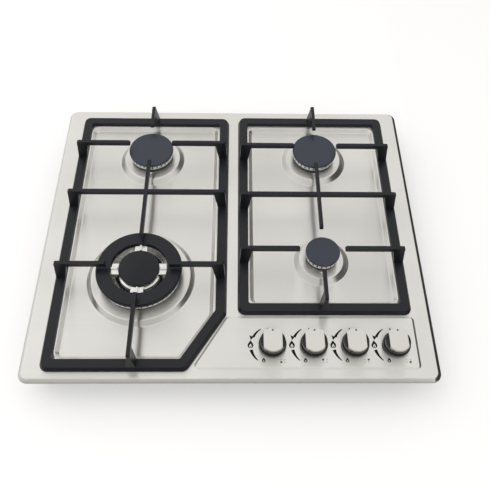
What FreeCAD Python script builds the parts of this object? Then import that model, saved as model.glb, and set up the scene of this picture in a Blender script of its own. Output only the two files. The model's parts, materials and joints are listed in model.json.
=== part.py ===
"""Built-in gas cooktop with four burners, two pan supports and four control knobs.

Millimetres, +Z up, front towards -Y. The origin is the centre of the underside of the
bottom box, with the steel plate centred on it in X and Y.
"""
import FreeCAD, Part
import math
import os

V = FreeCAD.Vector
UP = V(0, 0, 1)

# ---- plate and box --------------------------------------------------------------------
plate_width = 580.0            # X
plate_depth = 510.0            # Y
plate_corner = 14.0
sheet = 1.0                    # stainless sheet thickness
worktop_z = 56.0               # height of the worktop face above the underside of the box
plate_z = worktop_z + 6.0      # main face of the plate
rim_bevel = 5.0                # width of the sloping edge of the plate
rim_bevel_drop = 4.0
well_floor_z = worktop_z
well_slope = plate_z - well_floor_z
panel_rise = 1.5               # raised control area
panel_z = plate_z + panel_rise
box_half_width = 272.0
box_front_y = -232.0
box_rear_y = 226.0
box_sheet = 0.8
box_corner = 4.0
box_flange = 9.0
stud_radius = 2.0
clamp_screw_radius = 2.0

# ---- pan supports ---------------------------------------------------------------------
support_outer_x = 258.2        # outer edge of each frame's flat top
left_inner_x = -10.4           # edge of the left frame's flat top nearest the middle
right_inner_x = 11.5
left_rear_y = 228.5
right_rear_y = 231.0
left_front_y = -237.9
right_front_y = -151.7
cut_x = 52.6                   # cut corner of the left frame beside the control area
cut_y = 84.1
frame_width = 13.0             # of the flat top
frame_spread = 3.0             # how far the outer side slopes out below the flat top
frame_bottom_z = plate_z + 1.0
frame_top_z = plate_z + 8.0
frame_corner = 9.0
frame_inner_corner = 3.0
frame_bevel = 1.0
finger_width = 5.5
finger_height = 7.5
finger_top_z = worktop_z + 46.0
finger_bottom_z = finger_top_z - finger_height
leg_width = 14.0               # along the frame, where the leg stands on it
leg_depth = 13.3               # across the frame
leg_flare = 5.5                # how much deeper the leg is under the bar
leg_lean = 1.5                 # how far its outer side leans inwards
tip_bevels = (2.6, 1.4)        # upper and lower bevel of a finger's free end
foot_bevel = 2.0               # upper bevel of a bar's outer end
web_reach = 6.0                # small web where a spine crosses its bar
foot_radius = 4.5

# ---- wells in the plate ---------------------------------------------------------------
well_inner_x = 26.5
well_outer_x = 244.5
well_rear_y = 215.0
left_well_front_y = -222.0
right_well_front_y = -136.0
well_cut_x = 43.7
well_cut_y = 69.8

# ---- burners --------------------------------------------------------------------------
burner_x = 136.0
rear_burner_y = 142.0
wok_y = -90.0
small_y = -60.0
cap_thickness = 4.0
slot_width = 1.6
crown_inset = 1.4              # of the flame ring from the edge of its cap
crown_wall = 3.0
crown_height = 7.2             # slotted wall of a small burner's flame ring
skirt_height = 6.0             # plain wall below it
burner_screw_radius = 1.6
igniter_radius = 2.6
sensor_radius = 2.2
lift_gap = 0.3                 # clearance between parts that lift apart

# ---- controls -------------------------------------------------------------------------
knob_first_x = 57.5
knob_pitch = 58.0
knob_count = 4
knob_y = -202.0
knob_bottom_z = panel_z + 3.5
knob_top_z = worktop_z + 28.0
skirt_radius = 19.5
ring_radius = 18.6
grip_width = 26.0
grip_radius = 18.2
spindle_radius = 3.0
spindle_hole_radius = 7.0      # in the plate, filled by a rubber seal
running_gap = 0.05             # radial clearance of turning and sliding fits
push_travel = 3.0

# ---- gas and ignition -----------------------------------------------------------------
rail_radius = 8.0
rail_y = knob_y + 26.0
rail_z = 22.0
rail_side_x = 255.0
rail_bend = 15.0
pipe_radius = 3.0
pipe_z = 38.0
pipe_bend = 12.0
boss_reach = 34.0
tap_radius = 13.0
thermocouple_lane_z = 10.0
lead_lane_z = 5.0
lead_radius = 1.0
inlet_radius = 10.478          # G1/2 outside thread
inlet_end_y = 243.0
inlet_thread_y = 228.0         # where the thread starts, behind a narrower neck
inlet_neck_radius = 9.4
gland_x = 60.0
gland_z = 30.0
gland_bore = 3.6

knob_xs = [knob_first_x + knob_pitch * index for index in range(knob_count)]


# ---- helpers --------------------------------------------------------------------------
def box(x0, x1, y0, y1, z0, z1):
    return Part.makeBox(x1 - x0, y1 - y0, z1 - z0, V(x0, y0, z0))


def disc(radius, z0, z1, x=0.0, y=0.0):
    return Part.makeCylinder(radius, z1 - z0, V(x, y, z0))


def cone(r0, r1, z0, z1, x=0.0, y=0.0):
    return Part.makeCone(r0, r1, z1 - z0, V(x, y, z0))


def turned(profile, x=0.0, y=0.0):
    """Solid of revolution about a vertical axis, from (radius, height) points."""
    points = [V(r, 0, z) for r, z in profile]
    face = Part.Face(Part.makePolygon(points + [points[0]]))
    solid = face.revolve(V(0, 0, 0), UP, 360)
    solid.translate(V(x, y, 0))
    return solid


def fuse(shapes):
    return shapes[0].multiFuse(shapes[1:]).removeSplitter() if len(shapes) > 1 else shapes[0]


def rod(start, end, radius):
    return Part.makeCylinder(radius, (end - start).Length, start, end - start)


def inset(points, distance):
    """Moves every side of a counter-clockwise polygon inwards by distance."""
    result = []
    for index, corner in enumerate(points):
        before = V(*corner, 0) - V(*points[index - 1], 0)
        after = V(*points[(index + 1) % len(points)], 0) - V(*corner, 0)
        before.normalize()
        after.normalize()
        half_sum = V(-before.y - after.y, before.x + after.x, 0)
        scale = distance * 2.0 / half_sum.dot(half_sum)
        result.append((corner[0] + half_sum.x * scale, corner[1] + half_sum.y * scale))
    return result


def outline(points, radius, z):
    """Closed wire round a counter-clockwise polygon, every corner rounded to radius."""
    edges = []
    starts, ends, middles = [], [], []
    for index, corner in enumerate(points):
        here = V(corner[0], corner[1], z)
        back = V(*points[index - 1], z) - here
        forward = V(*points[(index + 1) % len(points)], z) - here
        back.normalize()
        forward.normalize()
        half_angle = back.getAngle(forward) / 2.0
        reach = radius / math.tan(half_angle)
        bisector = back + forward
        bisector.normalize()
        starts.append(here + back * reach)
        ends.append(here + forward * reach)
        middles.append(here + bisector * (radius / math.sin(half_angle) - radius))
    for index in range(len(points)):
        edges.append(Part.Arc(starts[index], middles[index], ends[index]).toShape())
        edges.append(Part.makeLine(ends[index], starts[(index + 1) % len(points)]))
    return Part.Wire(edges)


def prism(points, radius, z0, z1):
    return Part.Face(outline(points, radius, z0)).extrude(V(0, 0, z1 - z0))


def tapered(points, radius, z0, z1, step_in):
    """Prism whose upper outline is step_in further in than its lower one."""
    lower = outline(points, radius, z0)
    upper = outline(inset(points, step_in), max(radius - step_in, 0.5), z1)
    return Part.makeLoft([lower, upper], True, True)


def rectangle(x0, x1, y0, y1):
    return [(x0, y0), (x1, y0), (x1, y1), (x0, y1)]


def tube(points, radius, bend):
    """Round bar along straight runs joined by arcs of radius bend."""
    edges = []
    at = points[0]
    for index in range(1, len(points) - 1):
        corner = points[index]
        back = points[index - 1] - corner
        forward = points[index + 1] - corner
        back.normalize()
        forward.normalize()
        half_angle = back.getAngle(forward) / 2.0
        reach = bend / math.tan(half_angle)
        bisector = back + forward
        bisector.normalize()
        start = corner + back * reach
        end = corner + forward * reach
        middle = corner + bisector * (bend / math.sin(half_angle) - bend)
        edges.append(Part.makeLine(at, start))
        edges.append(Part.Arc(start, middle, end).toShape())
        at = end
    edges.append(Part.makeLine(at, points[-1]))
    path = Part.Wire(edges)
    direction = points[1] - points[0]
    section = Part.Wire(Part.makeCircle(radius, points[0], direction))
    return path.makePipeShell([section], True, True)


def around(x, y, radius, degrees):
    angle = math.radians(degrees)
    return x + radius * math.cos(angle), y + radius * math.sin(angle)


def hexagon(across_flats, z0, z1, x=0.0, y=0.0):
    corner = across_flats / math.sqrt(3)
    points = [V(*around(x, y, corner, 60 * side), z0) for side in range(7)]
    return Part.Face(Part.makePolygon(points)).extrude(V(0, 0, z1 - z0))


def save(name, solids):
    shapes = solids if isinstance(solids, list) else [solids]
    shape = shapes[0] if len(shapes) == 1 else Part.makeCompound(shapes)
    if not shape.isValid():
        print("NOT VALID", name)
    shape.exportStep("parts/%s.step" % name)


# ---- burner table ---------------------------------------------------------------------
class Burner:
    def __init__(self, name, x, y, cap_radius, cap_top, rim_radius, dome, gas_side, igniter, sensor):
        self.name = name
        self.x = x
        self.y = y
        self.cap_radius = cap_radius
        self.cap_top_z = worktop_z + cap_top
        self.rim_radius = rim_radius
        self.dome_outer, self.dome_inner, dome_rise = dome
        self.dome_z = well_floor_z + dome_rise
        self.gas_side = gas_side
        self.igniter_angle = igniter
        self.sensor_angle = sensor
        self.seat_z = self.dome_z + (3.0 if name == "wok" else 6.0)
        self.side_radius = cap_radius + 4.1

    def beside(self, degrees):
        """Place beside the cap, as for a spark plug or a flame sensor."""
        return around(self.x, self.y, self.side_radius, degrees)

    def screw_places(self):
        """The two screws that hold the cup to the plate, away from its gas boss."""
        angles = (0, 180) if self.gas_side[0] == 0 else (90, 270)
        return [around(self.x, self.y, self.rim_radius + 4.5, angle) for angle in angles]


burners = [
    Burner("rear_left", -burner_x, rear_burner_y, 36.2, 29.4, 27.0, (53.5, 45.0, 8.0), (1, 0), 70, 110),
    Burner("rear_right", burner_x, rear_burner_y, 36.2, 29.4, 27.0, (53.5, 45.0, 8.0), (-1, 0), 70, 110),
    Burner("front_right", burner_x, small_y, 25.8, 31.0, 18.0, (42.3, 33.5, 8.0), (1, 0), 100, 60),
    Burner("wok", -burner_x, wok_y, 63.0, 32.0, 30.0, (80.5, 73.4, 7.0), (0, -1), 110, 80),
]
rear_left, rear_right, front_right, wok = burners


# ---- plate ----------------------------------------------------------------------------
plate_outline = rectangle(-plate_width / 2, plate_width / 2, -plate_depth / 2, plate_depth / 2)


def left_outline(x0, x1, y0, y1, cut_x, cut_y):
    """Outline of the left support: its front right corner is cut away."""
    return [(x0, y0), (x1 - cut_x, y0), (x1, y0 + cut_y), (x1, y1), (x0, y1)]


wells = [
    left_outline(-well_outer_x, -well_inner_x, left_well_front_y, well_rear_y, well_cut_x, well_cut_y),
    rectangle(well_inner_x, well_outer_x, right_well_front_y, well_rear_y),
]
well_corner = 6.0 + well_slope
panel_corner = 6.0
panel_outline = [(-54.5, -237.5), (262.5, -237.5), (262.5, -157.0), (-7.0, -157.0)]


def plate_skin(drop, shrink):
    """Outer shape of the plate, or the hollow under it when drop is the sheet thickness."""
    low = well_floor_z - sheet - drop
    edge = inset(plate_outline, shrink)
    bevel_z = plate_z - rim_bevel_drop - drop
    slope_gap = drop * 0.41
    body = prism(edge, plate_corner - shrink, low, bevel_z)
    bevel_in = rim_bevel - shrink + slope_gap
    body = body.fuse(tapered(edge, plate_corner - shrink, bevel_z, plate_z - drop, bevel_in))
    raised = tapered(inset(panel_outline, slope_gap), panel_corner, plate_z - drop, panel_z - drop,
                     panel_rise)
    body = body.fuse(raised)
    for well in wells:
        top = inset(well, -slope_gap)
        lower = outline(inset(top, well_slope), well_corner - well_slope + 0.5, well_floor_z - drop)
        upper = outline(top, well_corner, plate_z - drop)
        recess = Part.makeLoft([lower, upper], True, True)
        body = body.cut(recess)
        body = body.cut(prism(top, well_corner, plate_z - drop, plate_z + 30))
    for burner in burners:
        body = body.fuse(cone(burner.dome_outer - slope_gap, burner.dome_inner - slope_gap,
                              well_floor_z - drop, burner.dome_z - drop, burner.x, burner.y))
    return body


def make_top_plate():
    plate = plate_skin(0.0, 0.0).cut(plate_skin(sheet, sheet))
    reach = plate_width
    below_rim = box(-reach, reach, -reach, reach, well_floor_z - 3 * sheet, well_floor_z)
    inner = inset(plate_outline, 25.0)
    below_rim = below_rim.cut(prism(inner, 10.0, well_floor_z - 4 * sheet, well_floor_z + 1))
    plate = plate.cut(below_rim)
    through = (well_floor_z - 3 * sheet, plate_z + 3 * sheet)
    holes = []
    for burner in burners:
        holes.append(disc(burner.rim_radius + 0.5, *through, burner.x, burner.y))
        holes.append(disc(igniter_radius + 0.3, *through, *burner.beside(burner.igniter_angle)))
        holes.append(disc(sensor_radius + 0.3, *through, *burner.beside(burner.sensor_angle)))
        for x, y in burner.screw_places():
            holes.append(disc(burner_screw_radius + 0.5, *through, x, y))
    for x in knob_xs:
        holes.append(disc(spindle_hole_radius, *through, x, knob_y))
    for x, y in box_fixings():
        holes.append(disc(stud_radius, plate_z - 2 * sheet, plate_z - 0.4, x, y))
    save("top_plate", plate.cut(Part.makeCompound(holes)))


def box_fixings():
    """Places of the studs that hold the bottom box to the plate."""
    inwards = box_flange / 2 + 0.6
    side_x = box_half_width - inwards
    front_y = box_front_y + inwards
    rear_y = box_rear_y - inwards
    places = [(side * side_x, y) for side in (-1, 1) for y in (-170.0, 0.0, 170.0)]
    places += [(x, rear_y) for x in (-120.0, 120.0)]
    places += [(-150.0, front_y)]
    return places


def make_box():
    outer_points = rectangle(-box_half_width, box_half_width, box_front_y, box_rear_y)
    shell = prism(outer_points, box_corner, 0, plate_z - sheet)
    shell = shell.cut(prism(inset(outer_points, box_sheet), box_corner - box_sheet, box_sheet,
                            plate_z - sheet - box_sheet))
    shell = shell.cut(prism(inset(outer_points, box_flange), box_corner, plate_z - 3 * sheet, plate_z))
    cuts = []
    for row_y in (-60.0, 60.0):
        for index in range(8):
            x = -210.0 + 60.0 * index
            cuts.append(box(x, x + 36, row_y, row_y + 4, -1, 2))
    for side in (-1, 1):
        for index in range(6):
            y = -130.0 + 50.0 * index
            x = side * box_half_width
            cuts.append(box(x - 2, x + 2, y, y + 30, 44, 48))
    cuts.append(rod(V(rail_side_x, box_rear_y - 3, rail_z), V(rail_side_x, box_rear_y + 3, rail_z),
                    inlet_radius + 0.3))
    cuts.append(rod(V(gland_x, box_rear_y - 3, gland_z), V(gland_x, box_rear_y + 3, gland_z), 8.0))
    for x, y in box_fixings():
        cuts.append(disc(stud_radius, plate_z - 4 * sheet, plate_z, x, y))
    for side, y in clamp_places():
        cuts.append(rod(V(side * (box_half_width - 4), y, clamp_screw_z),
                        V(side * (box_half_width + 4), y, clamp_screw_z), clamp_screw_radius))
    save("bottom_box", shell.cut(Part.makeCompound(cuts)))


def make_box_fixings():
    studs = []
    for x, y in box_fixings():
        top = plate_z - sheet
        stud = disc(stud_radius, top - 9, top + 0.6, x, y)
        nut = hexagon(7.0, top - box_sheet - 3.2, top - box_sheet, x, y)
        studs.append(stud.fuse(nut).removeSplitter())
    save("box_studs_and_nuts", studs)


def make_rim_seal():
    outer_points = inset(plate_outline, 4.0)
    strip = prism(outer_points, plate_corner - 4, worktop_z, plate_z - sheet)
    bevel_low = plate_z - rim_bevel_drop - sheet
    bevel_room = tapered(inset(plate_outline, sheet + 0.2), plate_corner - sheet, bevel_low,
                         plate_z - sheet, rim_bevel - sheet + 0.41)
    lower = prism(outer_points, plate_corner - 4, worktop_z, bevel_low)
    strip = strip.common(bevel_room.fuse(lower))
    save("rim_seal", strip.cut(prism(inset(outer_points, 10.0), 5.0, worktop_z - 1, plate_z)))


# ---- clamps ---------------------------------------------------------------------------
clamp_screw_z = 30.0
clamp_arm_z = 14.0
clamp_sheet = 1.5
clamp_reach = 16.5


def clamp_places():
    return [(side, y) for side in (-1, 1) for y in (-150.0, 130.0)]


def make_clamps():
    brackets, screws = [], []
    for side, y in clamp_places():
        x = box_half_width
        z = clamp_screw_z
        near_face = x + clamp_sheet
        tip = x + clamp_reach
        foot = box(x, near_face, y - 10, y + 10, clamp_arm_z, z + 8)
        arm = box(x, tip, y - 10, y + 10, clamp_arm_z, clamp_arm_z + clamp_sheet)
        lip = box(tip - clamp_sheet, tip, y - 10, y + 10, clamp_arm_z, clamp_arm_z + 6)
        hole = rod(V(x - 1, y, z), V(x + 4, y, z), clamp_screw_radius)
        bracket = fuse([foot, arm, lip]).cut(hole)
        screw = rod(V(x - 6, y, z), V(near_face, y, z), clamp_screw_radius)
        head = rod(V(near_face, y, z), V(near_face + 2.6, y, z), 3.8)
        slot = box(near_face + 1.4, near_face + 3, y - 5, y + 5, z - 0.5, z + 0.5)
        screw = screw.fuse(head).cut(slot)
        if side < 0:
            bracket = bracket.mirror(V(0, 0, 0), V(1, 0, 0))
            screw = screw.mirror(V(0, 0, 0), V(1, 0, 0))
        brackets.append(bracket)
        screws.append(screw)
    save("clamp_brackets", brackets)
    save("clamp_screws", screws)


# ---- pan supports ---------------------------------------------------------------------
def make_frame(name, top_points):
    """Support frame with upright inner sides and an outer side that slopes out downwards."""
    edge_z = frame_top_z - frame_bevel
    low_points = inset(top_points, -frame_spread)
    low_corner = frame_corner + frame_spread
    body = tapered(low_points, low_corner, frame_bottom_z, edge_z, frame_spread - frame_bevel)
    body = body.fuse(tapered(inset(top_points, -frame_bevel), frame_corner + frame_bevel, edge_z,
                             frame_top_z, frame_bevel))
    inner_points = inset(top_points, frame_width)
    hollow = prism(inner_points, frame_inner_corner, frame_bottom_z - 1, edge_z)
    lower = outline(inner_points, frame_inner_corner, edge_z)
    upper = outline(inset(inner_points, -frame_bevel), frame_inner_corner + frame_bevel, frame_top_z)
    body = body.cut(hollow).cut(Part.makeLoft([lower, upper], True, True))
    save(name, body.removeSplitter())


def end_cut(point, outwards, upper, lower):
    """Wedges that take the upper and lower corners off a bar's end."""
    ahead = V(outwards[0], outwards[1], 0)
    side = V(-outwards[1], outwards[0], 0)
    wedges = []
    for edge_z, down, size in ((finger_top_z, -1, upper), (finger_bottom_z, 1, lower)):
        corner = V(point[0], point[1], edge_z) - side * finger_width
        points = [corner - ahead * size, corner + UP * (down * size), corner + ahead - UP * down]
        wedge = Part.Face(Part.makePolygon(points + [points[0]]))
        wedges.append(wedge.extrude(side * finger_width * 2))
    return Part.makeCompound(wedges)


def bar(start, end, start_bevels, end_bevels):
    """Bar with softened long edges, along X or Y. Each end has an upper and a lower bevel."""
    soft_top, soft_low = 1.3, 0.8
    half = finger_width / 2
    section = [(-half + soft_low, finger_bottom_z), (half - soft_low, finger_bottom_z),
               (half, finger_bottom_z + soft_low), (half, finger_top_z - soft_top),
               (half - soft_top, finger_top_z), (-half + soft_top, finger_top_z),
               (-half, finger_top_z - soft_top), (-half, finger_bottom_z + soft_low)]
    length = math.hypot(end[0] - start[0], end[1] - start[1])
    towards = ((end[0] - start[0]) / length, (end[1] - start[1]) / length)
    side = V(-towards[1], towards[0], 0)
    points = [V(start[0], start[1], z) + side * across for across, z in section]
    face = Part.Face(Part.makePolygon(points + [points[0]]))
    solid = face.extrude(V(end[0] - start[0], end[1] - start[1], 0))
    solid = solid.cut(end_cut(start, (-towards[0], -towards[1]), *start_bevels))
    return solid.cut(end_cut(end, towards, *end_bevels))


def leg(at, towards):
    """Leg between frame and bar: broad along the frame at its foot, as thin as the bar on top.

    at is the middle of its outer side on the frame, towards the unit direction inwards.
    """
    ahead = V(towards[0], towards[1], 0)
    side = V(-towards[1], towards[0], 0)

    def level(z, near, far, width):
        base = V(at[0], at[1], z)
        corners = [base + ahead * along + side * across for along, across in (
            (near, -width / 2), (far, -width / 2), (far, width / 2), (near, width / 2))]
        return Part.makePolygon(corners + [corners[0]])

    foot = level(frame_top_z, 0, leg_depth, leg_width)
    head = level(finger_bottom_z + 1, leg_lean, leg_depth + leg_flare, finger_width)
    return Part.makeLoft([foot, head], True, True)


def finger(foot, tip):
    """One finger: a leg on the frame and a bar that reaches from it to the free tip."""
    length = math.hypot(tip[0] - foot[0], tip[1] - foot[1])
    towards = ((tip[0] - foot[0]) / length, (tip[1] - foot[1]) / length)
    start = (foot[0] + towards[0] * leg_lean, foot[1] + towards[1] * leg_lean)
    return fuse([bar(start, tip, (foot_bevel, 0.1), tip_bevels), leg(foot, towards)])


def cross(x0, x1, y, spine_x, spine_rear, spine_front):
    """Crossbar on two legs, with the spine that it carries."""
    end_bevels = (foot_bevel, 0.1)
    crossbar = bar((x0 + leg_lean, y), (x1 - leg_lean, y), end_bevels, end_bevels)
    spine = bar((spine_x, spine_front), (spine_x, spine_rear), tip_bevels, tip_bevels)
    web = [V(spine_x + web_reach * dx, y + web_reach * dy, finger_bottom_z + 1)
           for dx, dy in ((1, 0), (0, 1), (-1, 0), (0, -1), (1, 0))]
    web = Part.Face(Part.makePolygon(web)).extrude(V(0, 0, finger_height - 2.4))
    return fuse([crossbar, leg((x0, y), (1, 0)), leg((x1, y), (-1, 0)), spine, web])


def pair(x0, x1, y, left_tip, right_tip):
    """Two fingers that reach towards a burner from both sides."""
    return [finger((x0, y), (left_tip, y)), finger((x1, y), (right_tip, y))]


def make_feet(name, places):
    save(name, [disc(foot_radius, plate_z, frame_bottom_z, x, y) for x, y in places])


def make_left_support():
    x0, x1 = -support_outer_x, left_inner_x
    rear_pair_y, crossbar_y, wok_pair_y = 144.3, 42.0, -90.5
    spine_x = -135.2
    make_frame("left_support_frame", left_outline(x0, x1, left_front_y, left_rear_y, cut_x, cut_y))
    fingers = pair(x0, x1, rear_pair_y, -169.5, -101.3) + [
        finger((-burner_x, left_rear_y), (-burner_x, 181.4)),
        cross(x0, x1, crossbar_y, spine_x, 107.5, -42.2),
        finger((-burner_x, left_front_y), (-burner_x, -137.5)),
    ] + pair(x0, x1, wok_pair_y, -181.4, -91.0)
    save("left_support_fingers", fingers)
    half = frame_width / 2
    make_feet("left_support_feet", [
        (x0 + half, left_rear_y - 30), (x1 - half, left_rear_y - 30), (x0 + half, left_front_y + 30),
        (-burner_x + 30, left_front_y + half), (x1 - half, -120.0)])


def make_right_support():
    x0, x1 = right_inner_x, support_outer_x
    rear_pair_y, crossbar_y, front_pair_y = 140.5, 38.5, -63.0
    rear_x, spine_x, front_x = 136.4, 135.0, 134.0
    make_frame("right_support_frame", rectangle(x0, x1, right_front_y, right_rear_y))
    fingers = pair(x0, x1, rear_pair_y, 101.3, 171.0) + [
        finger((rear_x, right_rear_y), (rear_x, 177.2)),
        cross(x0, x1, crossbar_y, spine_x, 103.8, -26.5),
        finger((front_x, right_front_y), (front_x, -101.0)),
    ] + pair(x0, x1, front_pair_y, 100.7, 168.0)
    save("right_support_fingers", fingers)
    half = frame_width / 2
    make_feet("right_support_feet", [(x, y) for x in (x0 + half, x1 - half)
                                     for y in (right_rear_y - 30, right_front_y + 30)])


# ---- burners --------------------------------------------------------------------------
def make_cup(burner):
    """Aluminium cup under the plate, with its rim standing through the dome."""
    rim, low, flange_top = burner.rim_radius, 22.0, burner.dome_z - sheet
    flange_low = flange_top - 3.0
    neck = min(20.0, rim - 2.0)
    cup = turned([(0, low), (neck, low), (neck, pipe_z + 7), (rim + 1, pipe_z + 11), (rim + 1, flange_low),
                  (rim + 8.5, flange_low), (rim + 8.5, flange_top), (rim, flange_top),
                  (rim, burner.seat_z), (rim - 4, burner.seat_z), (rim - 4, pipe_z + 12),
                  (8, pipe_z + 8), (8, low + 8), (0, low + 8)])
    side = V(burner.gas_side[0], burner.gas_side[1], 0)
    at = V(0, 0, pipe_z)
    cup = cup.fuse(rod(at + side * (neck - 4), at + side * boss_reach, 6.0))
    cup = cup.cut(rod(at + side * 6, at + side * (boss_reach + 1), pipe_radius))
    cup.translate(V(burner.x, burner.y, 0))
    for x, y in burner.screw_places():
        cup = cup.cut(disc(burner_screw_radius, flange_low - 6, flange_top + 1, x, y))
    save(burner.name + "_burner_cup", cup.removeSplitter())


def make_injectors():
    injectors = []
    for burner in burners:
        seat = 30.0
        hexed = hexagon(9.0, seat, pipe_z - 4, burner.x, burner.y)
        nozzle = turned([(0.5, pipe_z - 4), (3.4, pipe_z - 4), (3.4, pipe_z + 4), (2.0, pipe_z + 7),
                         (0.5, pipe_z + 7)], burner.x, burner.y)
        injectors.append(hexed.fuse(nozzle).cut(disc(0.5, seat + 2, pipe_z + 8, burner.x, burner.y)))
    save("injectors", injectors)


def slots(count, inner, outer, z0, z1, slant):
    """Slots through a ring wall, each turned by slant degrees from the radius."""
    cuts = []
    middle = (inner + outer) / 2
    reach = (outer - inner) / 2 + 3
    for index in range(count):
        cut = box(-reach, reach, -slot_width / 2, slot_width / 2, z0, z1 + 1)
        cut.rotate(V(0, 0, 0), UP, slant)
        cut.translate(V(middle, 0, 0))
        cut.rotate(V(0, 0, 0), UP, 360.0 * index / count)
        cuts.append(cut)
    return Part.makeCompound(cuts)


def make_head(burner, slot_count):
    """Flame ring that stands on the cup's rim and carries the cap. A plain skirt hangs below it."""
    seat = burner.seat_z
    top = burner.cap_top_z - cap_thickness
    rim = burner.rim_radius
    crown = burner.cap_radius - crown_inset
    skirt_top = top - crown_height
    skirt_low = skirt_top - skirt_height
    head = turned([(8, seat), (rim - 5.8, seat), (rim - 5.8, seat - 5), (rim - 4 - lift_gap, seat - 5),
                   (rim - 4 - lift_gap, seat), (crown - crown_wall, seat), (crown - 2, skirt_low),
                   (crown - 0.5, skirt_low), (crown - 0.5, skirt_top - 0.5), (crown, skirt_top),
                   (crown, top), (crown - crown_wall, top), (crown - crown_wall, seat + 3.0),
                   (8, seat + 2.5)])
    head = head.cut(slots(slot_count, crown - crown_wall, crown, skirt_top + 1.5, top, 25))
    head.translate(V(burner.x, burner.y, 0))
    save(burner.name + "_burner_head", head)


def make_cap(burner):
    """Enamelled cap with a ring underneath that locates it inside the flame ring."""
    radius = burner.cap_radius
    top = burner.cap_top_z
    low = top - cap_thickness
    ring = radius - crown_inset - crown_wall - 0.5
    cap = turned([(0, low), (ring - 2, low), (ring - 2, low - 2.5), (ring, low - 2.5), (ring, low),
                  (radius - 1.4, low), (radius - 0.3, low + 0.6), (radius, low + 1.7),
                  (radius - 0.5, top - 0.9), (radius - 1.8, top - 0.15), (radius - 3.5, top), (0, top)],
                 burner.x, burner.y)
    save(burner.name + "_burner_cap", cap)


wok_floor = 3.0
wok_outer_wall = (58.5, 61.0)
wok_inner_wall = (43.0, 45.5)
wok_crown = (25.5, 28.0)
wok_ring_low = worktop_z + 25.0
wok_ring_hole = 41.7
wok_crown_top = worktop_z + 29.0
wok_lug_width = 19.0
wok_fin_width = 3.5


def make_wok_head(burner):
    """Double flame ring: an outer trough and an inner crown joined by four lugs."""
    seat = burner.seat_z
    floor = seat + wok_floor
    rim = burner.rim_radius
    head = turned([(12, seat), (rim - 5.8, seat), (rim - 5.8, seat - 5), (rim - 4 - lift_gap, seat - 5),
                   (rim - 4 - lift_gap, seat), (wok_outer_wall[1] - 6, seat), (wok_outer_wall[1], seat + 4),
                   (wok_outer_wall[1], wok_ring_low), (wok_outer_wall[0], wok_ring_low),
                   (wok_outer_wall[0], floor + 2), (wok_inner_wall[1], floor + 2),
                   (wok_inner_wall[1], wok_ring_low), (wok_inner_wall[0], wok_ring_low),
                   (wok_inner_wall[0], floor), (wok_crown[1] + 3, floor), (wok_crown[1] + 3, floor + 6),
                   (wok_crown[1], floor + 7), (wok_crown[1], wok_crown_top), (wok_crown[0], wok_crown_top),
                   (wok_crown[0], floor), (12, floor)])
    half = wok_lug_width / 2
    for index in range(4):
        lug = box(wok_crown[0] + 1, wok_ring_hole, -half, half, floor - 1, wok_crown_top - 1.0)
        lug = lug.common(disc(wok_ring_hole - 0.6, floor - 1, wok_crown_top))
        foot = box(wok_ring_hole - 1, wok_inner_wall[0] + 1, -half, half, floor - 1, wok_ring_low)
        fin_half = wok_fin_width / 2
        fin = box(wok_crown[1] + 3.0, wok_ring_hole - 0.6, -fin_half, fin_half, floor, wok_crown_top + 1.6)
        piece = fuse([lug, foot, fin])
        piece.rotate(V(0, 0, 0), UP, 90.0 * index)
        head = head.fuse(piece)
    head = head.removeSplitter()
    low_slots = wok_ring_low - 6.5
    head = head.cut(slots(48, *wok_outer_wall, low_slots, wok_ring_low, 20))
    for quarter in range(4):
        for index in range(5):
            angle = 90.0 * quarter + 29 + 8.0 * index
            for walls, z0, z1 in ((wok_inner_wall, low_slots, wok_ring_low),
                                  (wok_crown, wok_crown_top - 6, wok_crown_top)):
                cut = box(walls[0] - 2, walls[1] + 0.9, -slot_width / 2, slot_width / 2, z0, z1 + 1)
                cut.rotate(V(0, 0, 0), UP, angle)
                head = head.cut(cut)
    head.translate(V(burner.x, burner.y, 0))
    save("wok_burner_head", head)


def make_wok_caps(burner):
    radius = burner.cap_radius
    low, top = wok_ring_low, burner.cap_top_z
    rib = wok_inner_wall[1] + lift_gap + 0.2
    ring = turned([(wok_ring_hole, low), (rib, low), (rib, low - 2.0), (rib + 1.6, low - 2.0),
                   (rib + 1.6, low),
                   (radius - 1.2, low), (radius, low + 1.2), (radius, low + 3.6), (radius - 1.0, top - 1.8),
                   (radius - 2.6, top - 0.6), (radius - 5.0, top), (wok_ring_hole + 3.0, top),
                   (wok_ring_hole + 1.0, top - 0.5), (wok_ring_hole, top - 1.6)], burner.x, burner.y)
    save("wok_ring_cap", ring)
    low = wok_crown_top
    outer = 30.0
    lip = wok_crown[0] - 0.5
    profile = [(0, low), (lip - 2, low), (lip - 2, low - 2.5), (lip, low - 2.5), (lip, low), (outer - 1, low),
               (outer, low + 1.0), (outer, low + 1.8), (outer - 0.8, low + 2.8)]
    profile += [(outer * k, low + 2.8 + 3.0 * (1 - (k / 0.97) ** 2)) for k in (0.9, 0.75, 0.55, 0.3)]
    save("wok_inner_cap", turned(profile + [(0, low + 5.8)], burner.x, burner.y))


def make_burner_screws():
    screws = []
    for burner in burners:
        for x, y in burner.screw_places():
            z = burner.dome_z
            head = turned([(0, z), (3.2, z), (3.0, z + 1.2), (1.8, z + 2.0), (0, z + 2.2)], x, y)
            screw = disc(burner_screw_radius, z - 9, z, x, y).fuse(head)
            slot = box(x - 2.2, x + 2.2, y - 0.35, y + 0.35, z + 1.1, z + 3)
            screws.append(screw.cut(slot).cut(box(x - 0.35, x + 0.35, y - 2.2, y + 2.2, z + 1.1, z + 3)))
    save("burner_screws", screws)


# ---- ignition and flame sensing -------------------------------------------------------
collar_width = 3.0


def sensor_top(burner):
    """Height of a spark plug's tip, which the cap hides from the front."""
    return burner.cap_top_z - (8.5 if burner is wok else 6.5)


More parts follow.
